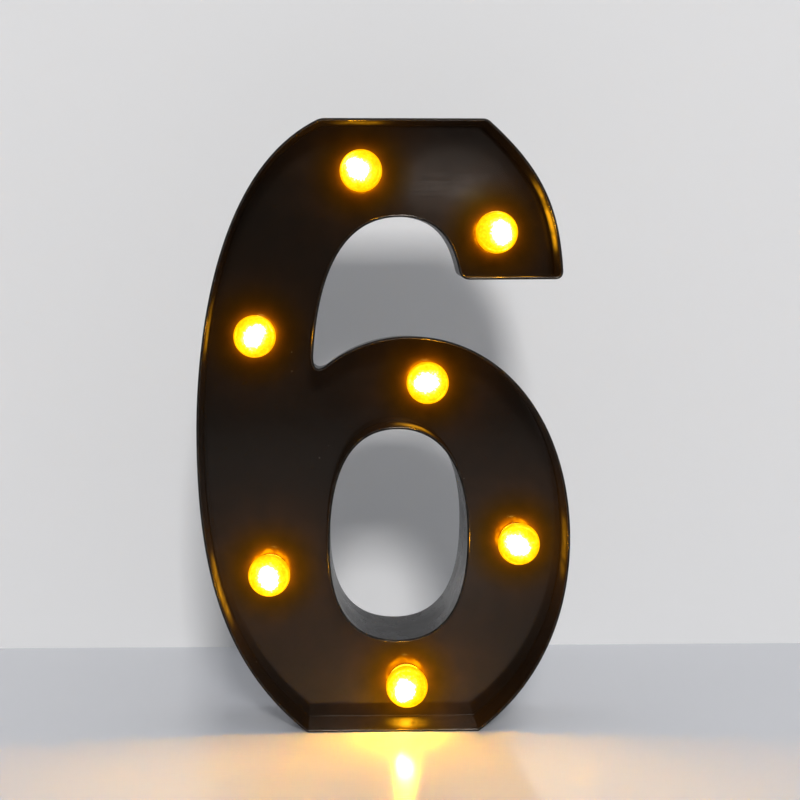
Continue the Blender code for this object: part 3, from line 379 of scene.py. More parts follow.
def mitres(loop):
    """Vectors that move a closed loop's points one unit to the left of its travel."""
    edges = np.roll(loop, -1, axis=0) - loop
    edges /= np.linalg.norm(edges, axis=1)[:, None]
    normals = np.stack([-edges[:, 1], edges[:, 0]], axis=1)
    before = np.roll(normals, 1, axis=0)
    return (normals + before) / (1 + np.sum(normals * before, axis=1))[:, None]


def drawn_in(y, taper):
    """How far a wall has drawn in at a depth behind the rim."""
    return taper * (y - FRONT_Y) / BODY_DEPTH


def turns(steps):
    """Angles of even steps round a circle."""
    return np.arange(steps) * math.tau / steps


def on_circle(centre, radius, angles):
    """Points of a circle in X and Z."""
    return np.array(centre) + radius * np.stack([np.cos(angles), np.sin(angles)], axis=1)


def circle_loop(centre, radius):
    """Round loop in X and Z."""
    return on_circle(centre, radius, turns(HOLE_STEPS))


def rectangle_loop(low, high, radius, steps):
    """Rectangle with quarter circles of one radius at its corners."""
    quarter = np.linspace(0.0, math.pi / 2, steps + 1)
    corners = ((high[0] - radius, high[1] - radius), (low[0] + radius, high[1] - radius),
               (low[0] + radius, low[1] + radius), (high[0] - radius, low[1] + radius))
    return np.vstack([on_circle(corner, radius, quarter + turn)
                      for corner, turn in zip(corners, np.arange(4) * math.pi / 2)])


def rectangle_corners(low, high):
    """Loop round a rectangle with sharp corners."""
    return np.array([low, (high[0], low[1]), high, (low[0], high[1])])


def keyhole_loop():
    """A round hole for a nail's head, with a slot above it for the nail's shank."""
    x, z = place(KEYHOLE_SHARES)
    lean = math.asin(KEYHOLE_SLOT_RADIUS / KEYHOLE_RADIUS)
    right = math.radians(90) - lean
    hole = on_circle((x, z), KEYHOLE_RADIUS,
                     np.linspace(right, right - math.tau + 2 * lean, HOLE_STEPS))
    slot = on_circle((x, z + KEYHOLE_RISE), KEYHOLE_SLOT_RADIUS,
                     np.linspace(math.pi, 0.0, HOLE_STEPS // 2))
    return np.vstack([hole, slot])


def smoothstep(low, high, value):
    """Rises from 0 at low to 1 at high as 3t^2 - 2t^3."""
    t = np.clip((value - low) / (high - low), 0.0, 1.0)
    return t * t * (3 - 2 * t)


class Skin:
    """A closed surface put together from strips and flat fills, each worked out as an array."""

    def __init__(self):
        self.points = []
        self.faces = []
        self.finish = []
        self.marks = []
        self.count = 0

    @staticmethod
    def columns(profile):
        """Insets, depths and marks of a profile's rows, whose marks are 0 where not given."""
        return np.array([(*row, 0.0)[:3] for row in profile]).T[:, :, None]

    def grid(self, points, mark=0.0, finish=0):
        """Quads between the rows and round the columns of an array of points; gives the indices."""
        rows, columns = points.shape[:2]
        index = self.count + np.arange(rows * columns).reshape(rows, columns)
        self.count += rows * columns
        self.points.append(points.reshape(-1, 3))
        self.marks.append(np.broadcast_to(np.asarray(mark, float), (rows, columns)).reshape(-1))
        after = np.roll(index, -1, axis=1)
        quads = np.stack([index[:-1], after[:-1], after[1:], index[1:]], axis=-1).reshape(-1, 4)
        self.faces.extend(quads.tolist())
        self.finish.extend([finish] * len(quads))
        return index

    def sweep(self, loop, profile, finish=0, seat=0.0):
        """Carry a profile of inset, depth and mark along a closed loop in X and Z.

        A point is the loop's point plus its inset times the mitre there, at the profile's
        depth. Near the foot it comes down again by as much as a wall of the seat's taper has
        drawn in, so that the foot stays flat on the table. Gives the two end rings.
        """
        inset, depth, mark = self.columns(profile)
        flat = loop[None] + inset[..., None] * mitres(loop)[None]
        depth = np.broadcast_to(depth, flat.shape[:2])
        drop = drawn_in(depth, seat) * (1 - smoothstep(0.0, FOOT_BLEND, loop[:, 1]))
        points = np.stack([flat[..., 0], depth, np.maximum(flat[..., 1] - drop, 0.0)], axis=-1)
        index = self.grid(points, mark, finish)
        return index[0], index[-1]

    def turn(self, origin, axis, profile, steps, finish=0):
        """Turn a profile of radius, height and mark about an axis; gives the two end rings.

        A point is the origin plus the height along the axis, plus the radius times a unit
        vector that turns round the axis.
        """
        radius, height, mark = self.columns(profile)
        along = np.array(axis, float)
        across = np.roll(along, 1)
        beside = np.cross(along, across)
        angles = turns(steps)
        round_it = np.cos(angles)[:, None] * across + np.sin(angles)[:, None] * beside
        points = np.array(origin) + height[..., None] * along + radius[..., None] * round_it[None]
        index = self.grid(points, mark, finish)
        return index[0], index[-1]

    def fill(self, rings, finish=0):
        """Flat face with the first ring of point indices round it and the others as its holes."""
        points = np.vstack(self.points)
        order = np.concatenate(rings)
        triangles = tessellate_polygon([points[ring].tolist() for ring in rings])
        self.faces.extend(order[np.array(triangles)].tolist())
        self.finish.extend([finish] * len(triangles))

    def slab(self, loop, profile):
        """Closed body between two flat faces with a loop round them."""
        for ring in self.sweep(loop, profile):
            self.fill([ring])

    def mesh(self, name, mark_name="edge"):
        """The mesh with its doubles merged and its normals turned outwards."""
        mesh = bpy.data.meshes.new(name)
        mesh.from_pydata(np.vstack(self.points).tolist(), [], self.faces)
        mesh.polygons.foreach_set("material_index", self.finish)
        mark = mesh.attributes.new(mark_name, "FLOAT", "POINT")
        mark.data.foreach_set("value", np.concatenate(self.marks).astype(np.float32))
        bm = bmesh.new()
        bm.from_mesh(mesh)
        bmesh.ops.remove_doubles(bm, verts=bm.verts, dist=WELD)
        bmesh.ops.recalc_face_normals(bm, faces=bm.faces)
        bm.to_mesh(mesh)
        bm.free()
        return mesh

    def piece(self, name, body, slot, materials, nodes, mark_name="edge", smooth=SHARP_ANGLE):
        """Make the object, with an edge sharp where it turns by more than the angle."""
        put_in_scene(name, self.mesh(name, mark_name), body, materials, nodes, smooth)


def linked(name, data):
    """An object of the scene with the given data."""
    made = bpy.data.objects.new(name, data)
    bpy.context.scene.collection.objects.link(made)
    return made


def put_in_scene(name, mesh, body, materials, nodes, smooth=SHARP_ANGLE):
    """Link a finished mesh, give it its materials and let it ride on its body."""
    for material in materials:
        mesh.materials.append(material)
    mesh.shade_smooth()
    mesh.set_sharp_from_angle(angle=smooth)
    piece = linked(name, mesh)
    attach(piece, body)
    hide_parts(*nodes)


# Node trees


def put(socket, value):
    """Link another node's socket to this one, or set its value; a colour's alpha is 1."""
    if isinstance(value, bpy.types.NodeSocket):
        socket.id_data.links.new(value, socket)
    else:
        socket.default_value = (*value, 1.0) if socket.type == "RGBA" else value


def add(tree, kind, inputs=None, **settings):
    """Add a node with its settings and the values or links of its inputs."""
    made = tree.nodes.new(f"ShaderNode{kind}")
    for name, value in settings.items():
        setattr(made, name, value)
    for name, value in (inputs or {}).items():
        put(made.inputs[name], value)
    return made


def coordinates(tree):
    """Object coordinates, in metres."""
    return add(tree, "TexCoord").outputs["Object"]


def component(tree, axis):
    """One of the object coordinates: Y is the depth, Z the height."""
    return add(tree, "SeparateXYZ", {"Vector": coordinates(tree)}).outputs[axis]


def mark_of(tree, name="edge"):
    """The marks that a skin carries."""
    return add(tree, "Attribute", attribute_name=name).outputs["Fac"]


def noise(tree, scale, detail=2.0, stretch=None):
    """Noise over the object coordinates, each of which a stretch may multiply."""
    vector = coordinates(tree)
    if stretch:
        vector = add(tree, "Mapping", {"Vector": vector, "Scale": stretch}).outputs[0]
    inputs = {"Vector": vector, "Scale": scale, "Detail": detail}
    return add(tree, "TexNoise", inputs).outputs["Fac"]


def cell_pattern(tree, scale):
    """Distance from the cells' middles and a random colour of each, over the coordinates."""
    return add(tree, "TexVoronoi", {"Vector": coordinates(tree), "Scale": scale}).outputs


def ranged(value, low, high, to_low=0.0, to_high=1.0):
    """Map a value from one range to another, held at the ends."""
    return add(value.id_data, "MapRange", {"Value": value, "From Min": low, "From Max": high,
                                           "To Min": to_low, "To Max": to_high}).outputs[0]


def patches(tree, scale, detail, low, high):
    """A value that wanders between two others with noise."""
    return ranged(noise(tree, scale, detail), 0.3, 0.7, low, high)


def maths(operation, *values):
    """Sum, product or other function of a socket and of further sockets or numbers."""
    tree = values[0].id_data
    return add(tree, "Math", dict(enumerate(values)), operation=operation).outputs[0]


def vectors(operation, *values):
    """The same for vectors; gives both outputs."""
    tree = values[0].id_data
    return add(tree, "VectorMath", dict(enumerate(values)), operation=operation).outputs


def scaled(vector, share):
    """A fixed vector or a socket, times a socket."""
    inputs = {0: vector, "Scale": share}
    return add(share.id_data, "VectorMath", inputs, operation="SCALE").outputs[0]


def blended(share, first, second):
    """First colour where the share is 0, second where it is 1."""
    inputs = {0: share, 6: first, 7: second}
    return add(share.id_data, "Mix", inputs, data_type="RGBA").outputs[2]


def colour_ramp(value, stops):
    """Colours at given values, with smooth steps between them."""
    ramp = add(value.id_data, "ValToRGB", {"Fac": value})
    elements = ramp.color_ramp.elements
    for at, colour in stops[2:]:
        elements.new(at)
    for element, (at, colour) in zip(elements, stops):
        element.position = at
        element.color = (*colour, 1.0)
    return ramp.outputs["Color"]


def new_group(name, inputs, outputs):
    """Empty shader group: inputs are names with their values, outputs names with their types.

    Gives the group, the sockets that bring its inputs and those that take its outputs.
    """
    group = bpy.data.node_groups.new(name, "ShaderNodeTree")
    for socket, value in inputs.items():
        made = group.interface.new_socket(name=socket, in_out="INPUT",
                                          socket_type="NodeSocketFloat")
        made.default_value = value
    for socket, kind in outputs.items():
        group.interface.new_socket(name=socket, in_out="OUTPUT", socket_type=f"NodeSocket{kind}")
    given, result = (group.nodes.new(f"NodeGroup{end}") for end in ("Input", "Output"))
    return group, given.outputs, result.inputs


def use_group(tree, name, *values):
    """Add a group's node with the values of its inputs, in their order; gives its outputs."""
    made = tree.nodes.new("ShaderNodeGroup")
    made.node_tree = bpy.data.node_groups[name]
    for socket, value in zip(made.inputs, values):
        socket.default_value = value
    return made.outputs


def build_moulded_grain():
    """Normal of moulded plastic: a slow unevenness and a fine grain, each with its own depth."""
    group, given, result = new_group(
        "moulded_grain", {"Wave Scale": 300, "Wave Depth": 2e-5, "Grain Scale": 2500,
                          "Grain Depth": 4e-6}, {"Normal": "Vector"})
    slow = add(group, "Bump", {"Height": noise(group, given["Wave Scale"], 1.0),
                               "Distance": given["Wave Depth"]})
    fine = add(group, "Bump", {"Height": noise(group, given["Grain Scale"], 3.0),
                               "Distance": given["Grain Depth"], "Normal": slow.outputs[0]})
    put(result["Normal"], fine.outputs[0])


def build_edge_wear():
    """Mask of rubbed edges: the piece's edge mark, broken up by noise."""
    group, given, result = new_group("edge_wear", {"Amount": 0.5, "Scale": 400},
                                     {"Mask": "Float"})
    broken = ranged(noise(group, given["Scale"], 4.0), 0.35, 0.7)
    mask = maths("MULTIPLY", mark_of(group), broken)
    put(result["Mask"], maths("MULTIPLY", mask, given["Amount"]))


def build_dust():
    """Mask of sparse dust specks: the middles of a few cells of a fine cell pattern."""
    group, given, result = new_group("dust_specks", {"Scale": 300, "Size": 0.12, "Sparse": 0.93},
                                     {"Mask": "Float"})
    cells = cell_pattern(group, given["Scale"])
    near = maths("LESS_THAN", cells["Distance"], given["Size"])
    pick = add(group, "SeparateColor", {"Color": cells["Color"]}).outputs[0]
    rare = maths("GREATER_THAN", pick, given["Sparse"])
    put(result["Mask"], maths("MULTIPLY", near, rare))


def build_bulb_spill():
    """Light round a lit cap: falls off as exp(-d / reach) with the distance d from the globe.

    The painted tint, an amber warming of the black that stands in for a cap's light, is 1 close
    to the globe and fades out within a shorter way than the far light. The wall's share,
    exp(-((d - way) / width)^2 / 2), is the streak that a cap throws on the wall that lies at
    the given way from it.
    """
    group, given, result = new_group(
        "bulb_spill", {"X": 0.0, "Z": 0.0, "Far Weight": 1.0, "Way": 0.01, "Streak": 1.0},
        {"Near": "Float", "Far": "Float", "Cast": "Float", "Wall": "Float"})
    middle = add(group, "CombineXYZ", {"X": given["X"], "Z": given["Z"]}).outputs[0]
    flat = vectors("MULTIPLY", coordinates(group), (1.0, 0.0, 1.0))[0]
    length = vectors("DISTANCE", flat, middle)["Value"]
    beyond = maths("MAXIMUM", maths("SUBTRACT", length, GLOBE_RADIUS), 0.0)
    near, far = (maths("EXPONENT", maths("DIVIDE", beyond, -reach))
                 for reach in (SPILL_NEAR, SPILL_FAR))
    off = maths("DIVIDE", maths("SUBTRACT", beyond, given["Way"]), STREAK_WIDTH)
    streak = maths("EXPONENT", maths("MULTIPLY", maths("MULTIPLY", off, off), -0.5))
    put(result["Near"], near)
    put(result["Far"], maths("MULTIPLY", far, given["Far Weight"]))
    # Painted tint: amber warming of the black near the cap, in place of its light
    put(result["Cast"], ranged(beyond, PAINTED_TINT_FULL, PAINTED_TINT_END, 1.0, 0.0))
    put(result["Wall"], maths("MULTIPLY", streak, given["Streak"]))


def drive(shader, **inputs):
    """Set or link a shader's inputs, whose names have underscores for their spaces."""
    for name, value in inputs.items():
        put(shader.inputs[name.replace("_", " ")], value)


def new_finish(name, **inputs):
    """Material with its node tree and its Principled shader."""
    material = bpy.data.materials.new(name)
    material.use_nodes = True
    tree = material.node_tree
    shader = tree.nodes["Principled BSDF"]
    drive(shader, **inputs)
    return material, tree, shader


def surface(name, dark, bright, cloud, gloss=None, wear=None, grain=None, **inputs):
    """Material with a clouded colour, a patchy gloss, rubbed edges and a moulded grain.

    The cloud is its noise's scale and detail. The gloss is the scale and detail of its patches
    and its least and greatest roughness. The wear is an amount, a scale and the bared colour.
    The grain is the scale and depth of the waves and of the fine grain. Gives the material, its
    tree, its shader, and the sockets of its colour and its roughness.
    """
    material, tree, shader = new_finish(name, **inputs)
    colour, rough = blended(noise(tree, *cloud), dark, bright), None
    if wear:
        amount, scale, bared = wear
        colour = blended(use_group(tree, "edge_wear", amount, scale)["Mask"], colour, bared)
    if gloss:
        rough = patches(tree, *gloss)
        drive(shader, Roughness=rough)
    if grain:
        drive(shader, Normal=use_group(tree, "moulded_grain", *grain)["Normal"])
    drive(shader, Base_Color=colour)
    return material, tree, shader, colour, rough


def black_moulding(name, smooth, dull):
    """Black plastic with a brown cast, rubbed at the rims, with a little dust."""
    material, tree, shader, colour, rough = surface(
        name, (0.0048, 0.0038, 0.003), (0.007, 0.0055, 0.0044), (45, 2.0),
        (70, 4.0, smooth, dull), (0.25, 350, (0.07, 0.062, 0.056)),
        (110, 8e-6, 2600, 1e-6), Specular_IOR_Level=MIRRORING, Specular_Tint=BROWN_TINT)
    dust = use_group(tree, "dust_specks", 300, 0.06, 0.96)["Mask"]
    colour = blended(dust, colour, (0.1, 0.09, 0.08))
    rubs = ranged(noise(tree, 30, 5.0, (1.0, 1.0, 40)), 0.55, 0.75, 0.0, 0.03)
    rough = maths("ADD", maths("ADD", rough, rubs), maths("MULTIPLY", dust, 0.4))
    drive(shader, Base_Color=colour, Roughness=rough)
    return material, tree, shader, colour, rough


def shell_satin():
    """Satin black outside of the shell; its rim is rubbed dull and mirrors less."""
    material, tree, shader, _, _ = black_moulding("shell_satin", 0.24, 0.32)
    drive(shader, Specular_IOR_Level=ranged(mark_of(tree), 0.3, 1.0, MIRRORING, 0.08))
    return material


def tray_gloss():
    """Glossy black inside of the tray, with the amber light that the lit caps spill on it.

    The floor is polished and the walls are at least a little rougher. Near the caps the black's
    colour and the tint of its reflections are painted amber, standing in for the caps' light.
    The streaks lie at the middle of the walls' depth, broken up by ripples.
    The crease round the floor, which its low edge mark tells, mirrors next to nothing.
    """
    material, tree, shader, colour, rough = black_moulding("tray_gloss", 0.085, 0.125)
    depth = component(tree, "Y")
    wall = ranged(depth, FLOOR_FRONT_Y - 4 * FLOOR_FILLET, FLOOR_FRONT_Y - FLOOR_FILLET, 1.0, 0.0)
    rough = maths("MAXIMUM", rough, maths("MULTIPLY", wall, WALL_ROUGHNESS))
    totals = {}
    for centre, far, streak in zip(CAP_CENTRES, SPILL_WEIGHTS, STREAKS):
        spill = use_group(tree, "bulb_spill", *centre, far, *streak)
        for share in ("Near", "Far", "Cast", "Wall"):
            operation = "MAXIMUM" if share == "Cast" else "ADD"
            totals[share] = (maths(operation, totals[share], spill[share])
                             if share in totals else spill[share])
    waist = maths("MINIMUM", ranged(depth, *(FRONT_Y + far for far in STREAK_FROM_RIM)),
                  ranged(depth, *(FLOOR_FRONT_Y - far for far in STREAK_FROM_FLOOR), 1.0, 0.0))
    ripples = ranged(noise(tree, 1.0, 2.0, (170, 40, 170)), 0.35, 0.65, 0.3, 1.5)
    streaks = maths("MULTIPLY", maths("MULTIPLY", totals["Wall"], waist), ripples)
    both = vectors("ADD", scaled(NEAR_LIGHT, totals["Near"]), scaled(FAR_LIGHT, totals["Far"]))[0]
    glow = vectors("ADD", both, scaled(STREAK_LIGHT, streaks))[0]
    glow = scaled(glow, patches(tree, 150, 4.0, 0.75, 1.25))
    mark, lost = mark_of(tree), MIRRORING - CREASE_MIRRORING
    mirroring = maths("ADD", ranged(mark, 0.0, CREASE_MARK, MIRRORING, CREASE_MIRRORING),
                      ranged(mark, CREASE_MARK, 5 * CREASE_MARK, 0.0, lost))
    # Painted light: near the caps the base colour and the reflections' tint are painted amber
    drive(shader, Emission_Color=glow, Emission_Strength=1.0, Roughness=rough,
          Specular_IOR_Level=mirroring,
          Specular_Tint=blended(totals["Cast"], BROWN_TINT, (1.0, 0.66, 0.1)),
          Base_Color=blended(totals["Cast"], colour, (0.006, 0.0034, 0.0004)))
    return material


def word_paint():
    """Pale grey paint on the raised words, thin in places."""
    material, tree, shader = new_finish("word_paint")
    thin = ranged(noise(tree, 1500, 4.0), 0.3, 0.6)
    drive(shader, Base_Color=blended(thin, (0.22, 0.22, 0.21), (0.52, 0.52, 0.5)),
          Roughness=patches(tree, 900, 2.0, 0.4, 0.6))
    return material


def lit_amber():
    """Lit amber plastic: its glow mark, broken up by its moulded prisms, runs to white-hot.

    The half behind the equator, which the LED lights from within, is an even, deeper amber.
    """
    material, tree, shader = new_finish("lit_amber", Emission_Strength=GLOW_STRENGTH, IOR=AMBER_IOR,
                                        Specular_Tint=(1.0, 0.6, 0.1))
    cells = cell_pattern(tree, 1000)["Distance"]
    cloud = ranged(noise(tree, 300), 0.25, 0.75, -0.08, 0.08)
    facets = ranged(cells, 0.0, 0.7, 0.06, -0.07)
    value = maths("ADD", maths("ADD", mark_of(tree, "glow"), cloud), facets)
    glow = colour_ramp(value, GLOW_STOPS)
    depth = component(tree, "Y")
    deeper = ranged(depth, GLOBE_Y + SIDE_BAND, GLOBE_Y + GLOBE_RADIUS, -0.08, 0.12)
    spots = ranged(maths("ADD", noise(tree, 300, 3.0), deeper), 0.4, 0.66)
    rear = blended(spots, (0.008, 0.0028, 0.0), (0.052, 0.026, 0.0))
    behind = ranged(depth, GLOBE_Y + SIDE_BAND, GLOBE_Y + 2 * SIDE_BAND)
    drive(shader, Base_Color=blended(cells, (0.3, 0.12, 0.004), (0.4, 0.18, 0.008)),
          Roughness=patches(tree, 500, 2.0, 0.1, 0.22),
          Emission_Color=blended(behind, glow, rear))
    return material


def cap_clear():
    """Unlit amber plastic of the caps' flanges, stems and insides."""
    return surface("cap_clear", (0.75, 0.3, 0.03), (0.95, 0.46, 0.06), (500, 2.0),
                   (700, 2.0, 0.12, 0.28), IOR=AMBER_IOR, Coat_Weight=0.5)[0]


def cover_matt():
    """Fine-grained matt black plastic of the cover and the door."""
    return surface("cover_matt", (0.014, 0.0128, 0.012), (0.028, 0.0255, 0.024), (60, 3.0),
                   (90, 4.0, 0.42, 0.56), (0.7, 500, (0.08, 0.074, 0.07)),
                   (180, 1e-5, 1500, 6e-5))[0]


def cell_sleeve():
    """Glossy shrink sleeve: dark blue, with a copper band near the nub."""
    material, tree, shader, body, _ = surface(
        "cell_sleeve", (0.035, 0.085, 0.2), (0.055, 0.13, 0.27), (90, 3.0),
        (150, 4.0, 0.22, 0.36), grain=(260, 3e-5, 3000, 3e-6), Coat_Weight=0.4)
    band = mark_of(tree, "band")
    collar = blended(noise(tree, 300, 4.0), (0.42, 0.19, 0.08), (0.56, 0.27, 0.12))
    drive(shader, Base_Color=blended(band, body, collar),
          Metallic=maths("MULTIPLY", band, 0.6))
    return material


def metal(name, dark, bright, smooth, dull, scratches):
    """Plated metal: cloudy colour, fine scratches along one way, and duller patches."""
    material, tree, shader, _, _ = surface(name, dark, bright, (350, 4.0),
                                           wear=(0.8, 900, (0.8, 0.8, 0.8)), Metallic=1.0)
    scratches = noise(tree, 1.0, 6.0, scratches)
    bump = add(tree, "Bump", {"Height": scratches, "Distance": 6e-6}).outputs[0]
    drive(shader, Roughness=ranged(scratches, 0.35, 0.7, smooth, dull), Normal=bump)
    return material


def plastic(name, dark, bright, smooth, dull):
    """Small moulded or extruded plastic, paler where it is worn."""
    worn = tuple(0.75 * value + 0.08 for value in bright)
    return surface(name, dark, bright, (220, 4.0), (300, 5.0, smooth, dull), (0.5, 700, worn),
                   (400, 1e-5, 3500, 6e-6))[0]


def phenolic_board():
    """Brown laminate of the switch's base: thin layers and paper fibres."""
    material, tree, shader, colour, _ = surface(
        "phenolic_board", (0.12, 0.055, 0.022), (0.24, 0.125, 0.058),
        (1.0, 4.0, (300, 9000, 300)))
    fibres = noise(tree, 1.0, 6.0, (900, 900, 5000))
    pale = ranged(fibres, 0.55, 0.75, 0.0, 0.5)
    bump = add(tree, "Bump", {"Height": fibres, "Distance": 1e-5}).outputs[0]
    drive(shader, Base_Color=blended(pale, colour, (0.33, 0.2, 0.11)),
          Roughness=ranged(fibres, 0.3, 0.7, 0.5, 0.7), Normal=bump)
    return material


def resistor_coat():
    """Tan lacquer with four colour bands across the body's middle; tinned ends beyond it."""
    material, tree, shader, colour, _ = surface(
        "resistor_coat", (0.5, 0.35, 0.2), (0.62, 0.47, 0.3), (900, 4.0),
        (1200, 3.0, 0.35, 0.5))
    offset = maths("SUBTRACT", component(tree, "Z"), node_centre("series_resistor")[2])
    for share, paint in RESISTOR_BANDS:
        near = maths("COMPARE", offset, share * RESISTOR_LENGTH, RESISTOR_LENGTH / 32)
        colour = blended(near, colour, paint)
    tinned = maths("GREATER_THAN", maths("ABSOLUTE", offset), RESISTOR_LENGTH / 2)
    drive(shader, Base_Color=blended(tinned, colour, (0.7, 0.69, 0.67)), Metallic=tinned)
    return material


def lens_epoxy():
    """Clear warm epoxy of the lit LEDs, with a brighter core cloud."""
    cloud = (700, 3.0)
    material, tree, shader, _, _ = surface(
        "lens_epoxy", (0.9, 0.62, 0.25), (1.0, 0.82, 0.45), cloud, (*cloud, 0.08, 0.18),
        Emission_Strength=4.0, Coat_Weight=0.5)
    core = blended(noise(tree, *cloud), (0.9, 0.42, 0.06), (1.0, 0.66, 0.2))
    drive(shader, Emission_Color=core)
    return material


# Pieces


def arc(centre, radius, start, end, mark=0.0, steps=ROUND_STEPS):
    """Rows of inset, depth and mark along a circle; 0 degrees is more inset, 90 is to the front."""
    return [(centre[0] + radius * math.cos(a), centre[1] - radius * math.sin(a), mark)
            for a in np.radians(np.linspace(start, end, steps + 1))]


def tray_profile():
    """Inside of the tray: its floor, the fillet, the wall and the inner half of the rim."""
    inner = RIM_WIDTH + TRAY_DRAFT
    rim = RIM_ROUND
    bend_y = FLOOR_FRONT_Y - FLOOR_FILLET
    return [(inner + FLOOR_FILLET + SUPPORT, FLOOR_FRONT_Y),
            *arc((inner + FLOOR_FILLET, bend_y), FLOOR_FILLET, 270, 180, CREASE_MARK),
            (inner, bend_y - SUPPORT), ((inner + RIM_WIDTH) / 2, (FRONT_Y + FLOOR_FRONT_Y) / 2),
            (RIM_WIDTH, FRONT_Y + rim + SUPPORT),
            *arc((RIM_WIDTH - rim, FRONT_Y + rim), rim, 0, 90, 1.0)]


def outside_profile(taper):
    """Outer half of the rim, the outside that draws in to the back edge, and the cavity's wall."""
    rim = RIM_ROUND
    back = drawn_in(BACK_Y, taper)
    cavity = REAR_WALL + back
    return [(RIM_WIDTH - rim, FRONT_Y, 1.0), *arc((rim, FRONT_Y + rim), rim, 90, 180, 1.0),
            (0.0, FRONT_Y + rim + SUPPORT), (back, BACK_Y - BACK_ROUND - SUPPORT),
            *arc((back + BACK_ROUND, BACK_Y - BACK_ROUND), BACK_ROUND, 180, 270, 1.0),
            (cavity - SUPPORT, BACK_Y, 0.6), (cavity, BACK_Y - SUPPORT, 0.3),
            (REAR_WALL + drawn_in(FLOOR_REAR_Y, taper), FLOOR_REAR_Y)]


def boss_profile():
    """Screw boss from the floor's rear face to its rim, and down its bore."""
    bore = BOSS_RADIUS - CAP_BORE_RADIUS / 2
    return [(0.0, FLOOR_REAR_Y), (0.0, BOSS_TOP_Y - SUPPORT), (SUPPORT, BOSS_TOP_Y, 0.3),
            (bore, BOSS_TOP_Y), (bore, BOSS_TOP_Y - BOSS_BORE_DEPTH)]


def make_shell(outside, tray):
    """Tray, walls and foot in one moulding, with bulb holes and screw bosses."""
    skin = Skin()
    walls = []
    for loop, taper in body_loops():
        front, _ = skin.sweep(loop, tray_profile(), finish=1)
        _, rear = skin.sweep(loop, outside_profile(taper), seat=taper)
        walls.append((front, rear))
    through = [(0.0, FLOOR_FRONT_Y), (0.0, FLOOR_REAR_Y)]
    holes = [skin.sweep(circle_loop(centre, CAP_STEM_RADIUS + GAP), through)
             for centre in CAP_CENTRES]
    bosses = [skin.sweep(circle_loop(centre, BOSS_RADIUS), boss_profile())
              for centre in SCREW_CENTRES]
    skin.fill([front for front, rear in walls + holes], finish=1)
    skin.fill([rear for front, rear in walls + holes] + [base for base, end in bosses])
    for base, end in bosses:
        skin.fill([end])
    skin.piece("shell_moulding", "body", "shell_black", [outside, tray], ["front_shell"])


def globe_grid(centre, core, spin):
    """Front of a cap: a sphere with a net of lozenge prisms sunk into it, and its glow marks.

    A point lies at the globe's radius, less the prism depth times the product of two crossed
    families of ridges, |sin(n u / 2 + k a)| |sin(n u / 2 - k a)|, at angle a from the crown and
    u round it; the prisms fade out towards the crown and behind the equator. The glow falls off
    from the core's middle as exp(-(q / reach)^fall), where q is the distance across the front,
    a little longer one way than the other. A small lobe beside the core and thin arcs near the
    edge are added, and the edge itself is dim.
    """
    end = math.pi - math.asin(CAP_WAIST_RADIUS / GLOBE_RADIUS)
    tilt = np.linspace(0.0, end, GLOBE_ROWS)[:, None]
    around = turns(GLOBE_COLUMNS)[None]
    half = PRISM_COUNT / 2
    wave = PRISM_TWIST / 2 * tilt
    ridges = np.abs(np.sin(half * around + wave) * np.sin(half * around - wave))
    fade = smoothstep(*PRISM_RISE, tilt) * (1 - smoothstep(*PRISM_FALL, tilt))
    radius = GLOBE_RADIUS - PRISM_DEPTH * ridges * fade
    x = radius * np.sin(tilt) * np.cos(around)
    z = radius * np.sin(tilt) * np.sin(around)
    y = -radius * np.cos(tilt) * np.ones_like(around)
    u, v = x / GLOBE_RADIUS - core[0], z / GLOBE_RADIUS - core[1]
    along = u * math.cos(spin) + v * math.sin(spin)
    across = v * math.cos(spin) - u * math.sin(spin)
    far = np.hypot(CORE_SHAPE[0] * along, CORE_SHAPE[1] * across) / CORE_REACH
    front = CORE_GLOW * np.exp(-far ** CORE_FALL)
    lobe = LOBE_GLOW * np.exp(-(np.hypot(along - LOBE_OFFSET, across) / LOBE_REACH) ** 2)
    p = np.hypot(x, z) / GLOBE_RADIUS
    arcs = (ARC_GLOW * np.exp(-((p - ARC_RADIUS) / ARC_WIDTH) ** 2)
            * (0.5 + 0.5 * np.sin(2 * around + spin)))
    rim = RIM_DIMMING * smoothstep(*RIM_SPAN, p)
    glow = GLOW_BASE + front + lobe + arcs - rim + PRISM_GLOW * (ridges - 0.5) * fade
    return np.array(centre) + np.stack([x, y, z], axis=-1), glow


def make_caps(lit, clear):
    """Seven caps: the prismed globe, then neck, flange, stem, bore and the smooth inside."""
    inner = GLOBE_RADIUS - CAP_WALL
    stem_end = -(FLOOR_THICKNESS + CAP_STEM_BEYOND)
    flange_top = GAP + CAP_FLANGE_THICKNESS
    waist = GLOBE_HEIGHT - math.sqrt(GLOBE_RADIUS ** 2 - CAP_WAIST_RADIUS ** 2)
    angles = np.linspace(math.pi - math.asin(CAP_BORE_RADIUS / inner), 0.0, INSIDE_ROWS)
    profile = [(CAP_WAIST_RADIUS, waist), (CAP_WAIST_RADIUS, flange_top),
               (CAP_FLANGE_RADIUS, flange_top), (CAP_FLANGE_RADIUS, GAP), (CAP_STEM_RADIUS, GAP),
               (CAP_STEM_RADIUS, stem_end), (CAP_BORE_RADIUS, stem_end),
               *((inner * math.sin(a), GLOBE_HEIGHT + inner * math.cos(a)) for a in angles)]
    for number, ((x, z), core) in enumerate(zip(CAP_CENTRES, CORE_OFFSETS), 1):
        skin = Skin()
        skin.grid(*globe_grid((x, GLOBE_Y, z), core, CORE_TURN * number))
        skin.turn((x, FLOOR_FRONT_Y, z), (0, -1, 0), profile, GLOBE_COLUMNS, 1)
        skin.piece(f"lit_cap_{number}", "body", "bulb_amber", [lit, clear], [f"bulb_cap_{number}"],
                   "glow", SOFT_ANGLE)


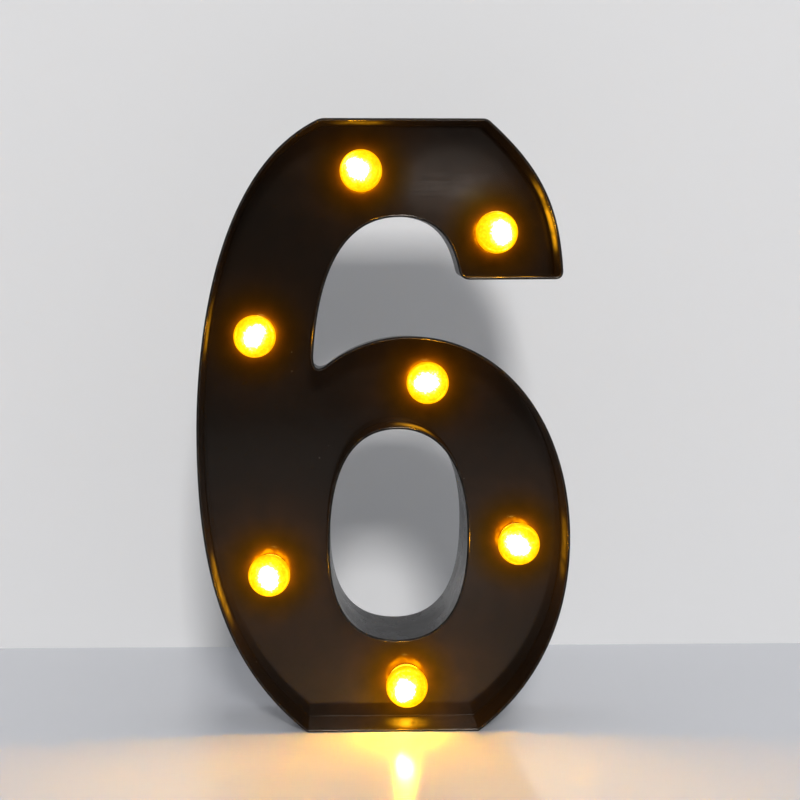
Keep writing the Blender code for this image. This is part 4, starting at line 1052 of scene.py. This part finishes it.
def panel_edge(distance=0.0):
    """Edge of the cover or the door: sharp at its front face and rounded at its rear face."""
    inset, bend_y = distance + PANEL_ROUND, COVER_REAR_Y - PANEL_ROUND
    return [(distance, COVER_FRONT_Y), (distance, bend_y - SUPPORT, 0.1),
            *arc((inset, bend_y), PANEL_ROUND, 180, 270, 0.8), (inset + SUPPORT, COVER_REAR_Y, 0.1)]


def add_block(skin, low, high, radius, steps=3):
    """Closed block with rounded edges, added to a skin."""
    loop = rectangle_loop(low[::2], high[::2], BLOCK_CORNER * radius, steps)
    profile = (arc((radius, low[1] + radius), radius, 90, 180, 0.7, steps)
               + arc((radius, high[1] - radius), radius, 180, 270, 0.7, steps))
    skin.slab(loop, profile)


def carved(mesh, tool):
    """The mesh with a closed tool mesh cut out of it by an exact Boolean."""
    work, knife = linked("work", mesh), linked("knife", tool)
    boolean = work.modifiers.new("carve", "BOOLEAN")
    boolean.object = knife
    boolean.solver = "EXACT"
    depsgraph = bpy.context.evaluated_depsgraph_get()
    result = bpy.data.meshes.new_from_object(work.evaluated_get(depsgraph),
                                             preserve_all_data_layers=True, depsgraph=depsgraph)
    bpy.data.objects.remove(work)
    bpy.data.objects.remove(knife)
    bpy.data.meshes.remove(mesh)
    bpy.data.meshes.remove(tool)
    return result


def joined(name, meshes):
    """One mesh out of several closed ones."""
    bm = bmesh.new()
    for mesh in meshes:
        bm.from_mesh(mesh)
        bpy.data.meshes.remove(mesh)
    mesh = bpy.data.meshes.new(name)
    bm.to_mesh(mesh)
    bm.free()
    return mesh


def lettering(word, origin):
    """Raised word on the rear face, read from behind, as a mesh."""
    curve = bpy.data.curves.new(word, "FONT")
    curve.body = word
    curve.size = WORD_SIZE
    curve.extrude = WORD_RELIEF
    curve.bevel_depth = WORD_RELIEF / 3
    curve.bevel_resolution = 1
    curve.align_x = "CENTER"
    curve.align_y = "CENTER"
    holder = linked(word, curve)
    depsgraph = bpy.context.evaluated_depsgraph_get()
    mesh = bpy.data.meshes.new_from_object(holder.evaluated_get(depsgraph))
    bpy.data.objects.remove(holder)
    bpy.data.curves.remove(curve)
    x, y, z = origin
    mesh.transform(Matrix(((-1, 0, 0, x), (0, 0, 1, y), (0, 1, 0, z), (0, 0, 0, 1))))
    mesh.materials.clear()
    mesh.polygons.foreach_set("material_index", [1] * len(mesh.polygons))
    return mesh


def make_cover(material, paint):
    """Flat cover let into the back, with the battery well, and posts for the switch."""
    skin = Skin()
    hole = panel_edge()
    ends = []
    for loop, taper in body_loops():
        edge = REAR_WALL + drawn_in(COVER_REAR_Y, taper) + GAP
        ends.append(skin.sweep(loop, panel_edge(edge), seat=taper))
    switch = np.array((SWITCH_X, SWITCH_Z))
    slot = np.array((SLOT_LENGTH, SLOT_WIDTH)) / 2
    loops = [circle_loop(centre, SCREW_RADIUS + GAP)[::-1] for centre in SCREW_CENTRES]
    loops.append(rectangle_loop(switch - slot, switch + slot, 2 * PANEL_ROUND, 4)[::-1])
    loops.append(keyhole_loop())
    ends += [skin.sweep(loop, hole) for loop in loops]

    low = np.array((DOOR_LOW[0] - GAP, WELL_Z - POCKET_LENGTH / 2))
    high = np.array((DOOR_HIGH[0] + GAP, WELL_Z + POCKET_LENGTH / 2))
    ledge_y = COVER_FRONT_Y - GAP
    fillet = 2 * PANEL_ROUND
    rim, floor = skin.sweep(rectangle_corners(low, high)[::-1], [
        *hole[:0:-1], (0.0, ledge_y), (-WELL_LEDGE, ledge_y, 0.3),
        *arc((-WELL_LEDGE - fillet, WELL_FLOOR_Y + fillet), fillet, 0, 90),
        (-WELL_LEDGE - fillet - SUPPORT, WELL_FLOOR_Y)])
    block = rectangle_corners(low + WELL_LEDGE - WELL_WALL, high - WELL_LEDGE + WELL_WALL)
    bend_y = WELL_FRONT_Y + PANEL_ROUND
    root, base = skin.sweep(block, [
        (0.0, COVER_FRONT_Y), (0.0, bend_y + SUPPORT),
        *arc((PANEL_ROUND, bend_y), PANEL_ROUND, 180, 90, 0.6),
        (PANEL_ROUND + SUPPORT, WELL_FRONT_Y)])
    for rings in ([front for front, rear in ends] + [root], [rear for front, rear in ends] + [rim],
                  [floor], [base]):
        skin.fill(rings)

    knife = Skin()
    slits = ((TAB_SPREAD, DOOR_TAB_WIDTH, COVER_REAR_Y - TAB_SWING - GAP, COVER_FRONT_Y,
              PANEL_ROUND / 2),
             (CELL_SPREAD, CONTACT_TAB_WIDTH, CELL_Y - CONTACT_THICKNESS,
              CELL_Y + CONTACT_THICKNESS, PANEL_ROUND / 4))
    for side in (-1, 1):
        for spread, width, y_low, y_high, radius in slits:
            x, half = WELL_X + side * spread, width / 2 + GAP
            add_block(knife, (x - half, y_low, low[1] - WELL_WALL),
                      (x + half, y_high, low[1] + WELL_LEDGE + GAP), radius)
    reach = THUMB_NOTCH_LENGTH
    add_block(knife, (WELL_X - TONGUE_WIDTH / 2, COVER_REAR_Y - THUMB_NOTCH_DEPTH, high[1] - reach),
              (WELL_X + TONGUE_WIDTH / 2, COVER_REAR_Y + reach, high[1] + reach),
              THUMB_NOTCH_DEPTH * 0.8, 5)
    plate = carved(skin.mesh("cover_plate"), knife.mesh("cover_cuts"))

    posts = Skin()
    post_end = COVER_FRONT_Y + GAP
    head_rear = COVER_FRONT_Y - 2 * GAP - EAR_THICKNESS
    head_front = head_rear - POST_HEAD_THICKNESS
    profile = [(0.0, head_front), (POST_HEAD_RADIUS - PANEL_ROUND, head_front, 0.5),
               (POST_HEAD_RADIUS, head_front + PANEL_ROUND, 0.5), (POST_HEAD_RADIUS, head_rear),
               (POST_RADIUS, head_rear), (POST_RADIUS, post_end), (0.0, post_end)]
    for side in (-1, 1):
        posts.turn((SWITCH_X + side * POST_SPREAD, 0.0, SWITCH_Z), (0, 1, 0), profile, HOLE_STEPS)
    beside = SLOT_LENGTH / 2 + WORD_CLEARANCE
    words = [lettering(word, (SWITCH_X + side * beside, COVER_REAR_Y, SWITCH_Z))
             for word, side in (("ON", 1), ("OFF", -1))]
    mesh = joined("cover_panel", [plate, posts.mesh("switch_posts"), *words])
    put_in_scene("cover_panel", mesh, "body", [material, paint], ["back_cover"])


def door_loop():
    """The door's outline, with a round-ended slit on each side of the latch tongue at its top."""
    (x_low, _, _), (x_high, _, z_high) = DOOR_LOW, DOOR_HIGH
    end = TONGUE_SLIT / 2
    turn = np.linspace(0.0, -math.pi, 9)
    points = [(x_low, DOOR_Z_LOW), (x_high, DOOR_Z_LOW), (x_high, z_high)]
    for side in (1, -1):
        middle = WELL_X + side * (TONGUE_WIDTH + TONGUE_SLIT) / 2
        points.append((middle + end, z_high))
        points += on_circle((middle, z_high - TONGUE_LENGTH + end), end, turn).tolist()
        points.append((middle - end, z_high))
    points.append((x_low, z_high))
    return np.array(points)


def add_chevron(skin, z):
    """Raised V that points up, added to a skin at a height."""
    x, half, top, stroke = WELL_X, CHEVRON_HALF, z + CHEVRON_HEIGHT, RIDGE_WIDTH
    y_high = COVER_REAR_Y + GAP
    loop = np.array([(x - half, z), (x - half + stroke, z), (x, top - stroke),
                     (x + half - stroke, z), (x + half, z), (x, top)])
    profile = [(0.0, COVER_REAR_Y - GAP), (0.0, y_high - GAP / 4, 0.4), (GAP / 4, y_high, 0.9)]
    skin.slab(loop, profile)


def make_door(material):
    """Door with rounded edges, latch tongue with finger ridges, chevrons and hinge tabs."""
    skin = Skin()
    skin.slab(door_loop(), panel_edge())
    top = DOOR_HIGH[2]
    for index in range(RIDGE_COUNT):
        z = top - (2 * index + 1.5) * RIDGE_WIDTH
        half = TONGUE_WIDTH / 2 - RIDGE_WIDTH
        add_block(skin, (WELL_X - half, COVER_REAR_Y - GAP, z - RIDGE_WIDTH / 2),
                  (WELL_X + half, COVER_REAR_Y + RIDGE_HEIGHT, z + RIDGE_WIDTH / 2), GAP, 5)
    for step in range(CHEVRON_COUNT):
        add_chevron(skin, top - TONGUE_LENGTH - (4 + 2 * step) * RIDGE_WIDTH * 1.5)
    tab_y = COVER_FRONT_Y - GAP - DOOR_TAB_THICKNESS
    riser_y = COVER_FRONT_Y + COVER_THICKNESS / 2
    riser_z = DOOR_Z_LOW + DOOR_RISER
    for side in (-1, 1):
        x = WELL_X + side * TAB_SPREAD
        low_x, high_x = x - DOOR_TAB_WIDTH / 2, x + DOOR_TAB_WIDTH / 2
        add_block(skin, (low_x, tab_y, DOOR_LOW[2]),
                  (high_x, COVER_FRONT_Y - GAP, riser_z), PANEL_ROUND)
        add_block(skin, (low_x, tab_y, DOOR_Z_LOW + WELL_LEDGE / 2),
                  (high_x, riser_y, riser_z), PANEL_ROUND / 2)
    skin.piece("door_panel", "battery_door", "cover_black", [material], ["battery_door"])


def screw_grid():
    """Screw along +Y with its head's underside at 0, as a grid of rings.

    The radius of a ring is its profile radius, less the thread's depth times a triangle wave
    of the height over the pitch plus the turn, so that the thread runs round as a helix.
    """
    flat, side = SCREW_HEAD_FLAT, SCREW_HEAD_SIDE
    rows = [(0.0, SCREW_HEAD_HEIGHT)]
    rows += [(flat + (SCREW_HEAD_RADIUS - flat) * math.sin(a),
              SCREW_HEAD_HEIGHT * (side + (1 - side) * math.cos(a)))
             for a in np.linspace(0.0, math.pi / 2, 8)]
    rows += [(SCREW_HEAD_RADIUS, 0.0), (SCREW_RADIUS * 0.8, 0.0)]
    rows += [(SCREW_RADIUS, height, THREAD_DEPTH)
             for height in np.linspace(-GAP, SCREW_RADIUS - SCREW_LENGTH, THREAD_ROWS)]
    angles = turns(SCREW_COLUMNS)[None]
    radius, height, depth = Skin.columns(rows + [(0.0, -SCREW_LENGTH)])
    wave = np.abs(2 * ((height / SCREW_PITCH + angles / math.tau) % 1.0) - 1)
    radius = radius - depth * wave
    lift = height * np.ones_like(angles)
    worn = np.where(height > 0.3 * SCREW_HEAD_HEIGHT, 0.6, 0.0) * np.ones_like(angles)
    return np.stack([radius * np.cos(angles), lift, radius * np.sin(angles)], axis=-1), worn


def make_screws(material):
    """Eight pan-head screws with cross recesses, each turned to its own angle."""
    skin = Skin()
    skin.grid(*screw_grid())
    cross = skin.mesh("screw")
    long, short = SCREW_HEAD_FLAT, RECESS_WIDTH / 2
    profile = [(short * 0.5, SCREW_HEAD_HEIGHT - RECESS_DEPTH), (0.0, SCREW_HEAD_HEIGHT * 1.5)]
    for half in ((long, short), (short, long)):
        knife = Skin()
        knife.slab(rectangle_corners(-np.array(half), np.array(half)), profile)
        cross = carved(cross, knife.mesh("recess"))
    for number, (x, z) in enumerate(SCREW_CENTRES, 1):
        name = f"cover_screw_{number}"
        mesh = cross.copy()
        head_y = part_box(name)[1][1] - SCREW_HEAD_HEIGHT
        turned = Matrix.Rotation(number * SCREW_TURN, 4, "Y")
        mesh.transform(Matrix.Translation((x, head_y, z)) @ turned)
        put_in_scene(f"pan_screw_{number}", mesh, "body", [material], [name])
    bpy.data.meshes.remove(cross)


def make_slider(material):
    """Switch slider: its block, and a stem with finger ribs that stands out of the cover."""
    (x_low, y_low, z_low), (x_high, y_high, z_high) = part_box("switch_slider")
    x, z = (x_low + x_high) / 2, (z_low + z_high) / 2
    block_rear = COVER_FRONT_Y - 2 * GAP - EAR_THICKNESS
    skin = Skin()
    add_block(skin, (x_low, y_low, z_low), (x_high, block_rear, z_high), PANEL_ROUND)
    half_x, half_z = STEM_LENGTH / 2, STEM_WIDTH / 2
    add_block(skin, (x - half_x, block_rear - GAP, z - half_z),
              (x + half_x, y_high - GAP, z + half_z), PANEL_ROUND)
    pitch = STEM_LENGTH / 5
    for step in RIB_STEPS:
        middle = x + step * pitch
        add_block(skin, (middle - pitch / 4, y_high - 4 * GAP, z - half_z + GAP / 3),
                  (middle + pitch / 4, y_high, z + half_z - GAP / 3), GAP / 2)
    skin.piece("switch_thumb", "switch_slider", "switch_black", [material], ["switch_slider"])


def make_cells(sleeve, steel):
    """Two cells in shrunk sleeves with a band near the nub; a mark of 1 is the band."""
    radius, half = CELL_DIAMETER / 2, CELL_LENGTH / 2
    shoulder = half - CELL_NUB_HEIGHT
    soft = CELL_NUB_HEIGHT / 3
    crimp = radius - 2 * CELL_EDGE
    top = [(0.0, half), (CELL_NUB_RADIUS - soft, half), (CELL_NUB_RADIUS, half - soft),
           (CELL_NUB_RADIUS, shoulder - soft), (crimp, shoulder - soft)]
    bends = np.linspace(0.0, math.pi / 2, 6)
    shoulders = [(radius - CELL_EDGE + CELL_EDGE * math.sin(a),
                  shoulder - CELL_EDGE + CELL_EDGE * math.cos(a), 1.0) for a in bends]
    band_end = half - CELL_BAND
    side = [(crimp, shoulder, 1.0), *shoulders,
            (radius, band_end, 1.0), (radius, band_end - GAP / 3),
            *((r, -h - CELL_NUB_HEIGHT) for r, h, mark in reversed(shoulders)), (crimp, -half)]
    bottom = [(crimp, -half), (crimp - soft, soft - half), (0.0, soft - half)]
    for number, up in ((1, -1), (2, 1)):
        name = f"battery_{number}"
        centre = node_centre(name)
        skin = Skin()
        for profile, finish in ((top, 1), (side, 0), (bottom, 1)):
            skin.turn(centre, (0, 0, up), profile, CELL_COLUMNS, finish)
        skin.piece(f"cell_{number}", "body", "cell_label", [sleeve, steel], [name], "band")


def coil(centre_x, z_start, direction):
    """Middle line of a tapering coil and its unit tangents.

    Radius and height both run evenly from the wide end at a contact to the narrow end at a
    cell; the height waits for a little of the first and of the last turn, so the ends lie flat.
    """
    share = np.linspace(0.0, 1.0, round(SPRING_TURNS * COIL_STEPS) + 1)
    angle = share * SPRING_TURNS * math.tau
    radius = SPRING_BASE_RADIUS + share * (SPRING_TIP_RADIUS - SPRING_BASE_RADIUS)
    rise = np.clip((share - SPRING_FLAT) / (1 - 2 * SPRING_FLAT), 0.0, 1.0)
    height = SPRING_WIRE_RADIUS + rise * (SPRING_LENGTH - 2 * SPRING_WIRE_RADIUS)
    points = np.stack([centre_x + radius * np.cos(angle), CELL_Y + radius * np.sin(angle),
                       z_start + direction * height], axis=1)
    tangents = np.gradient(points, axis=0)
    return points, tangents / np.linalg.norm(tangents, axis=1)[:, None]


def make_springs(material):
    """Coil springs: a circle of wire carried square along the coil, with flat ends."""
    turn = turns(SPRING_SIDES)[None, :, None]
    for name, side in (("negative_spring", -1), ("bridge_spring", 1)):
        low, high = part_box(name)
        z_start, direction = (low[2], 1) if side < 0 else (high[2], -1)
        points, tangents = coil(WELL_X + side * CELL_SPREAD, z_start, direction)
        across = np.cross(tangents, (0.0, 0.0, 1.0))
        across /= np.linalg.norm(across, axis=1)[:, None]
        beside = np.cross(tangents, across)
        ring = np.cos(turn) * across[:, None] + np.sin(turn) * beside[:, None]
        skin = Skin()
        index = skin.grid(points[:, None] + SPRING_WIRE_RADIUS * ring)
        skin.faces.extend([index[0].tolist(), index[-1].tolist()])
        skin.finish.extend([0, 0])
        skin.piece(f"coil_{name}", "body", "contact_nickel", [material], [name], smooth=SOFT_ANGLE)


def finish_nodes(finish, *nodes):
    """Give CAD nodes that stay in the scene a procedural material."""
    for node in nodes:
        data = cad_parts[node].data
        data.materials.clear()
        data.materials.append(finish)


# Room, light and camera


def room_finish(name, low, high, roughness, mirroring):
    """Pale sheet that is seen from its front only."""
    material, tree, shader, _, _ = surface(name, low, high, (3.0, 2.0), Roughness=roughness,
                                           Specular_IOR_Level=mirroring)
    clear = add(tree, "BsdfTransparent").outputs[0]
    behind = add(tree, "NewGeometry").outputs["Backfacing"]
    mix = add(tree, "MixShader", {0: behind, 1: shader.outputs[0], 2: clear}).outputs[0]
    put(tree.nodes["Material Output"].inputs["Surface"], mix)
    return material


def make_room():
    """A pale table top and a pale wall behind it."""
    laminate = room_finish("table_laminate", (0.585, 0.6, 0.65), (0.615, 0.63, 0.675), 0.13, 1.0)
    paint = room_finish("wall_paint", (0.74, 0.745, 0.755), (0.77, 0.77, 0.775), 0.7, 0.5)
    side = ROOM_HALF_WIDTH
    for name, front, top, finish in (("table_top", TABLE_FRONT_Y, 0.0, laminate),
                                     ("back_wall", WALL_Y, ROOM_HEIGHT, paint)):
        mesh = bpy.data.meshes.new(name)
        mesh.from_pydata([(-side, front, 0.0), (side, front, 0.0), (side, WALL_Y, top),
                          (-side, WALL_Y, top)], [], [(0, 1, 2, 3)])
        mesh.materials.append(finish)
        linked(name, mesh)


def make_light():
    """A soft key lamp high above the camera, a weak low one under it, and an even room."""
    for name, (place_at, size, watts, colour) in LAMPS.items():
        lamp = bpy.data.lights.new(name, "AREA")
        lamp.shape = "RECTANGLE"
        lamp.size, lamp.size_y = size
        lamp.energy = watts
        lamp.color = colour
        holder = linked(name, lamp)
        holder.location = place_at
        toward = Vector(LAMP_AIM) - Vector(place_at)
        holder.rotation_euler = toward.to_track_quat("-Z", "Y").to_euler()
    world = bpy.data.worlds.new("room")
    bpy.context.scene.world = world
    world.use_nodes = True
    tree = world.node_tree
    toward = vectors("DOT_PRODUCT", add(tree, "TexCoord").outputs["Generated"], DARK_QUARTER)
    sky = tree.nodes["Background"].inputs
    put(sky["Strength"], ranged(toward["Value"], *DARK_SPAN, DARK_STRENGTH, SKY_STRENGTH))
    put(sky["Color"], SKY_COLOUR)


def make_camera():
    """The camera of the photo's angle, with no depth of field."""
    camera = bpy.data.cameras.new("camera")
    camera.lens = CAMERA_LENS
    camera.sensor_width = CAMERA_SENSOR
    camera.dof.use_dof = False
    holder = linked("camera", camera)
    holder.location = CAMERA_PLACE
    holder.rotation_euler = (math.radians(90 - CAMERA_TILT), 0.0, math.radians(-CAMERA_PAN))
    bpy.context.scene.camera = holder


def main():
    """Make the finishes, the pieces, the room, its light and the camera."""
    for build in (build_moulded_grain, build_edge_wear, build_dust, build_bulb_spill):
        build()
    make_shell(shell_satin(), tray_gloss())
    make_caps(lit_amber(), cap_clear())
    panel = cover_matt()
    nickel = metal("nickel_plate", (0.60, 0.57, 0.52), (0.76, 0.73, 0.68), 0.20, 0.36,
                   (300.0, 6000.0, 300.0))
    steel = metal("zinc_steel", (0.48, 0.49, 0.51), (0.64, 0.64, 0.65), 0.24, 0.40,
                  (5000.0, 400.0, 900.0))
    tin = metal("switch_plate", (0.52, 0.52, 0.53), (0.70, 0.70, 0.70), 0.22, 0.38,
                (400.0, 400.0, 6000.0))
    black = plastic("switch_nylon", (0.010, 0.010, 0.010), (0.022, 0.022, 0.023), 0.38, 0.52)
    make_cover(panel, word_paint())
    make_door(panel)
    make_screws(steel)
    make_slider(black)
    make_cells(cell_sleeve(), steel)
    make_springs(nickel)
    red = plastic("red_insulation", (0.440, 0.014, 0.010), (0.600, 0.028, 0.020), 0.32, 0.46)
    dark = plastic("black_insulation", (0.008, 0.008, 0.009), (0.018, 0.018, 0.019), 0.32, 0.46)
    milky = plastic("milky_nylon", (0.640, 0.625, 0.580), (0.760, 0.750, 0.710), 0.38, 0.52)
    finish_nodes(nickel, "positive_contact", "negative_contact", "bridge_contact",
                 "switch_terminal_1", "switch_terminal_2", "switch_terminal_3")
    finish_nodes(tin, "switch_can")
    finish_nodes(phenolic_board(), "switch_base")
    finish_nodes(resistor_coat(), "series_resistor")
    finish_nodes(red, "supply_wire_red", "battery_lead_red")
    finish_nodes(dark, "supply_wire_black", "battery_lead_black")
    numbers = range(1, CAP_COUNT + 1)
    finish_nodes(lens_epoxy(), *(f"led_{number}" for number in numbers))
    finish_nodes(milky, *(f"led_retainer_{number}" for number in numbers))
    make_room()
    make_light()
    make_camera()
    bpy.context.scene.view_settings.view_transform = "Standard"


main()
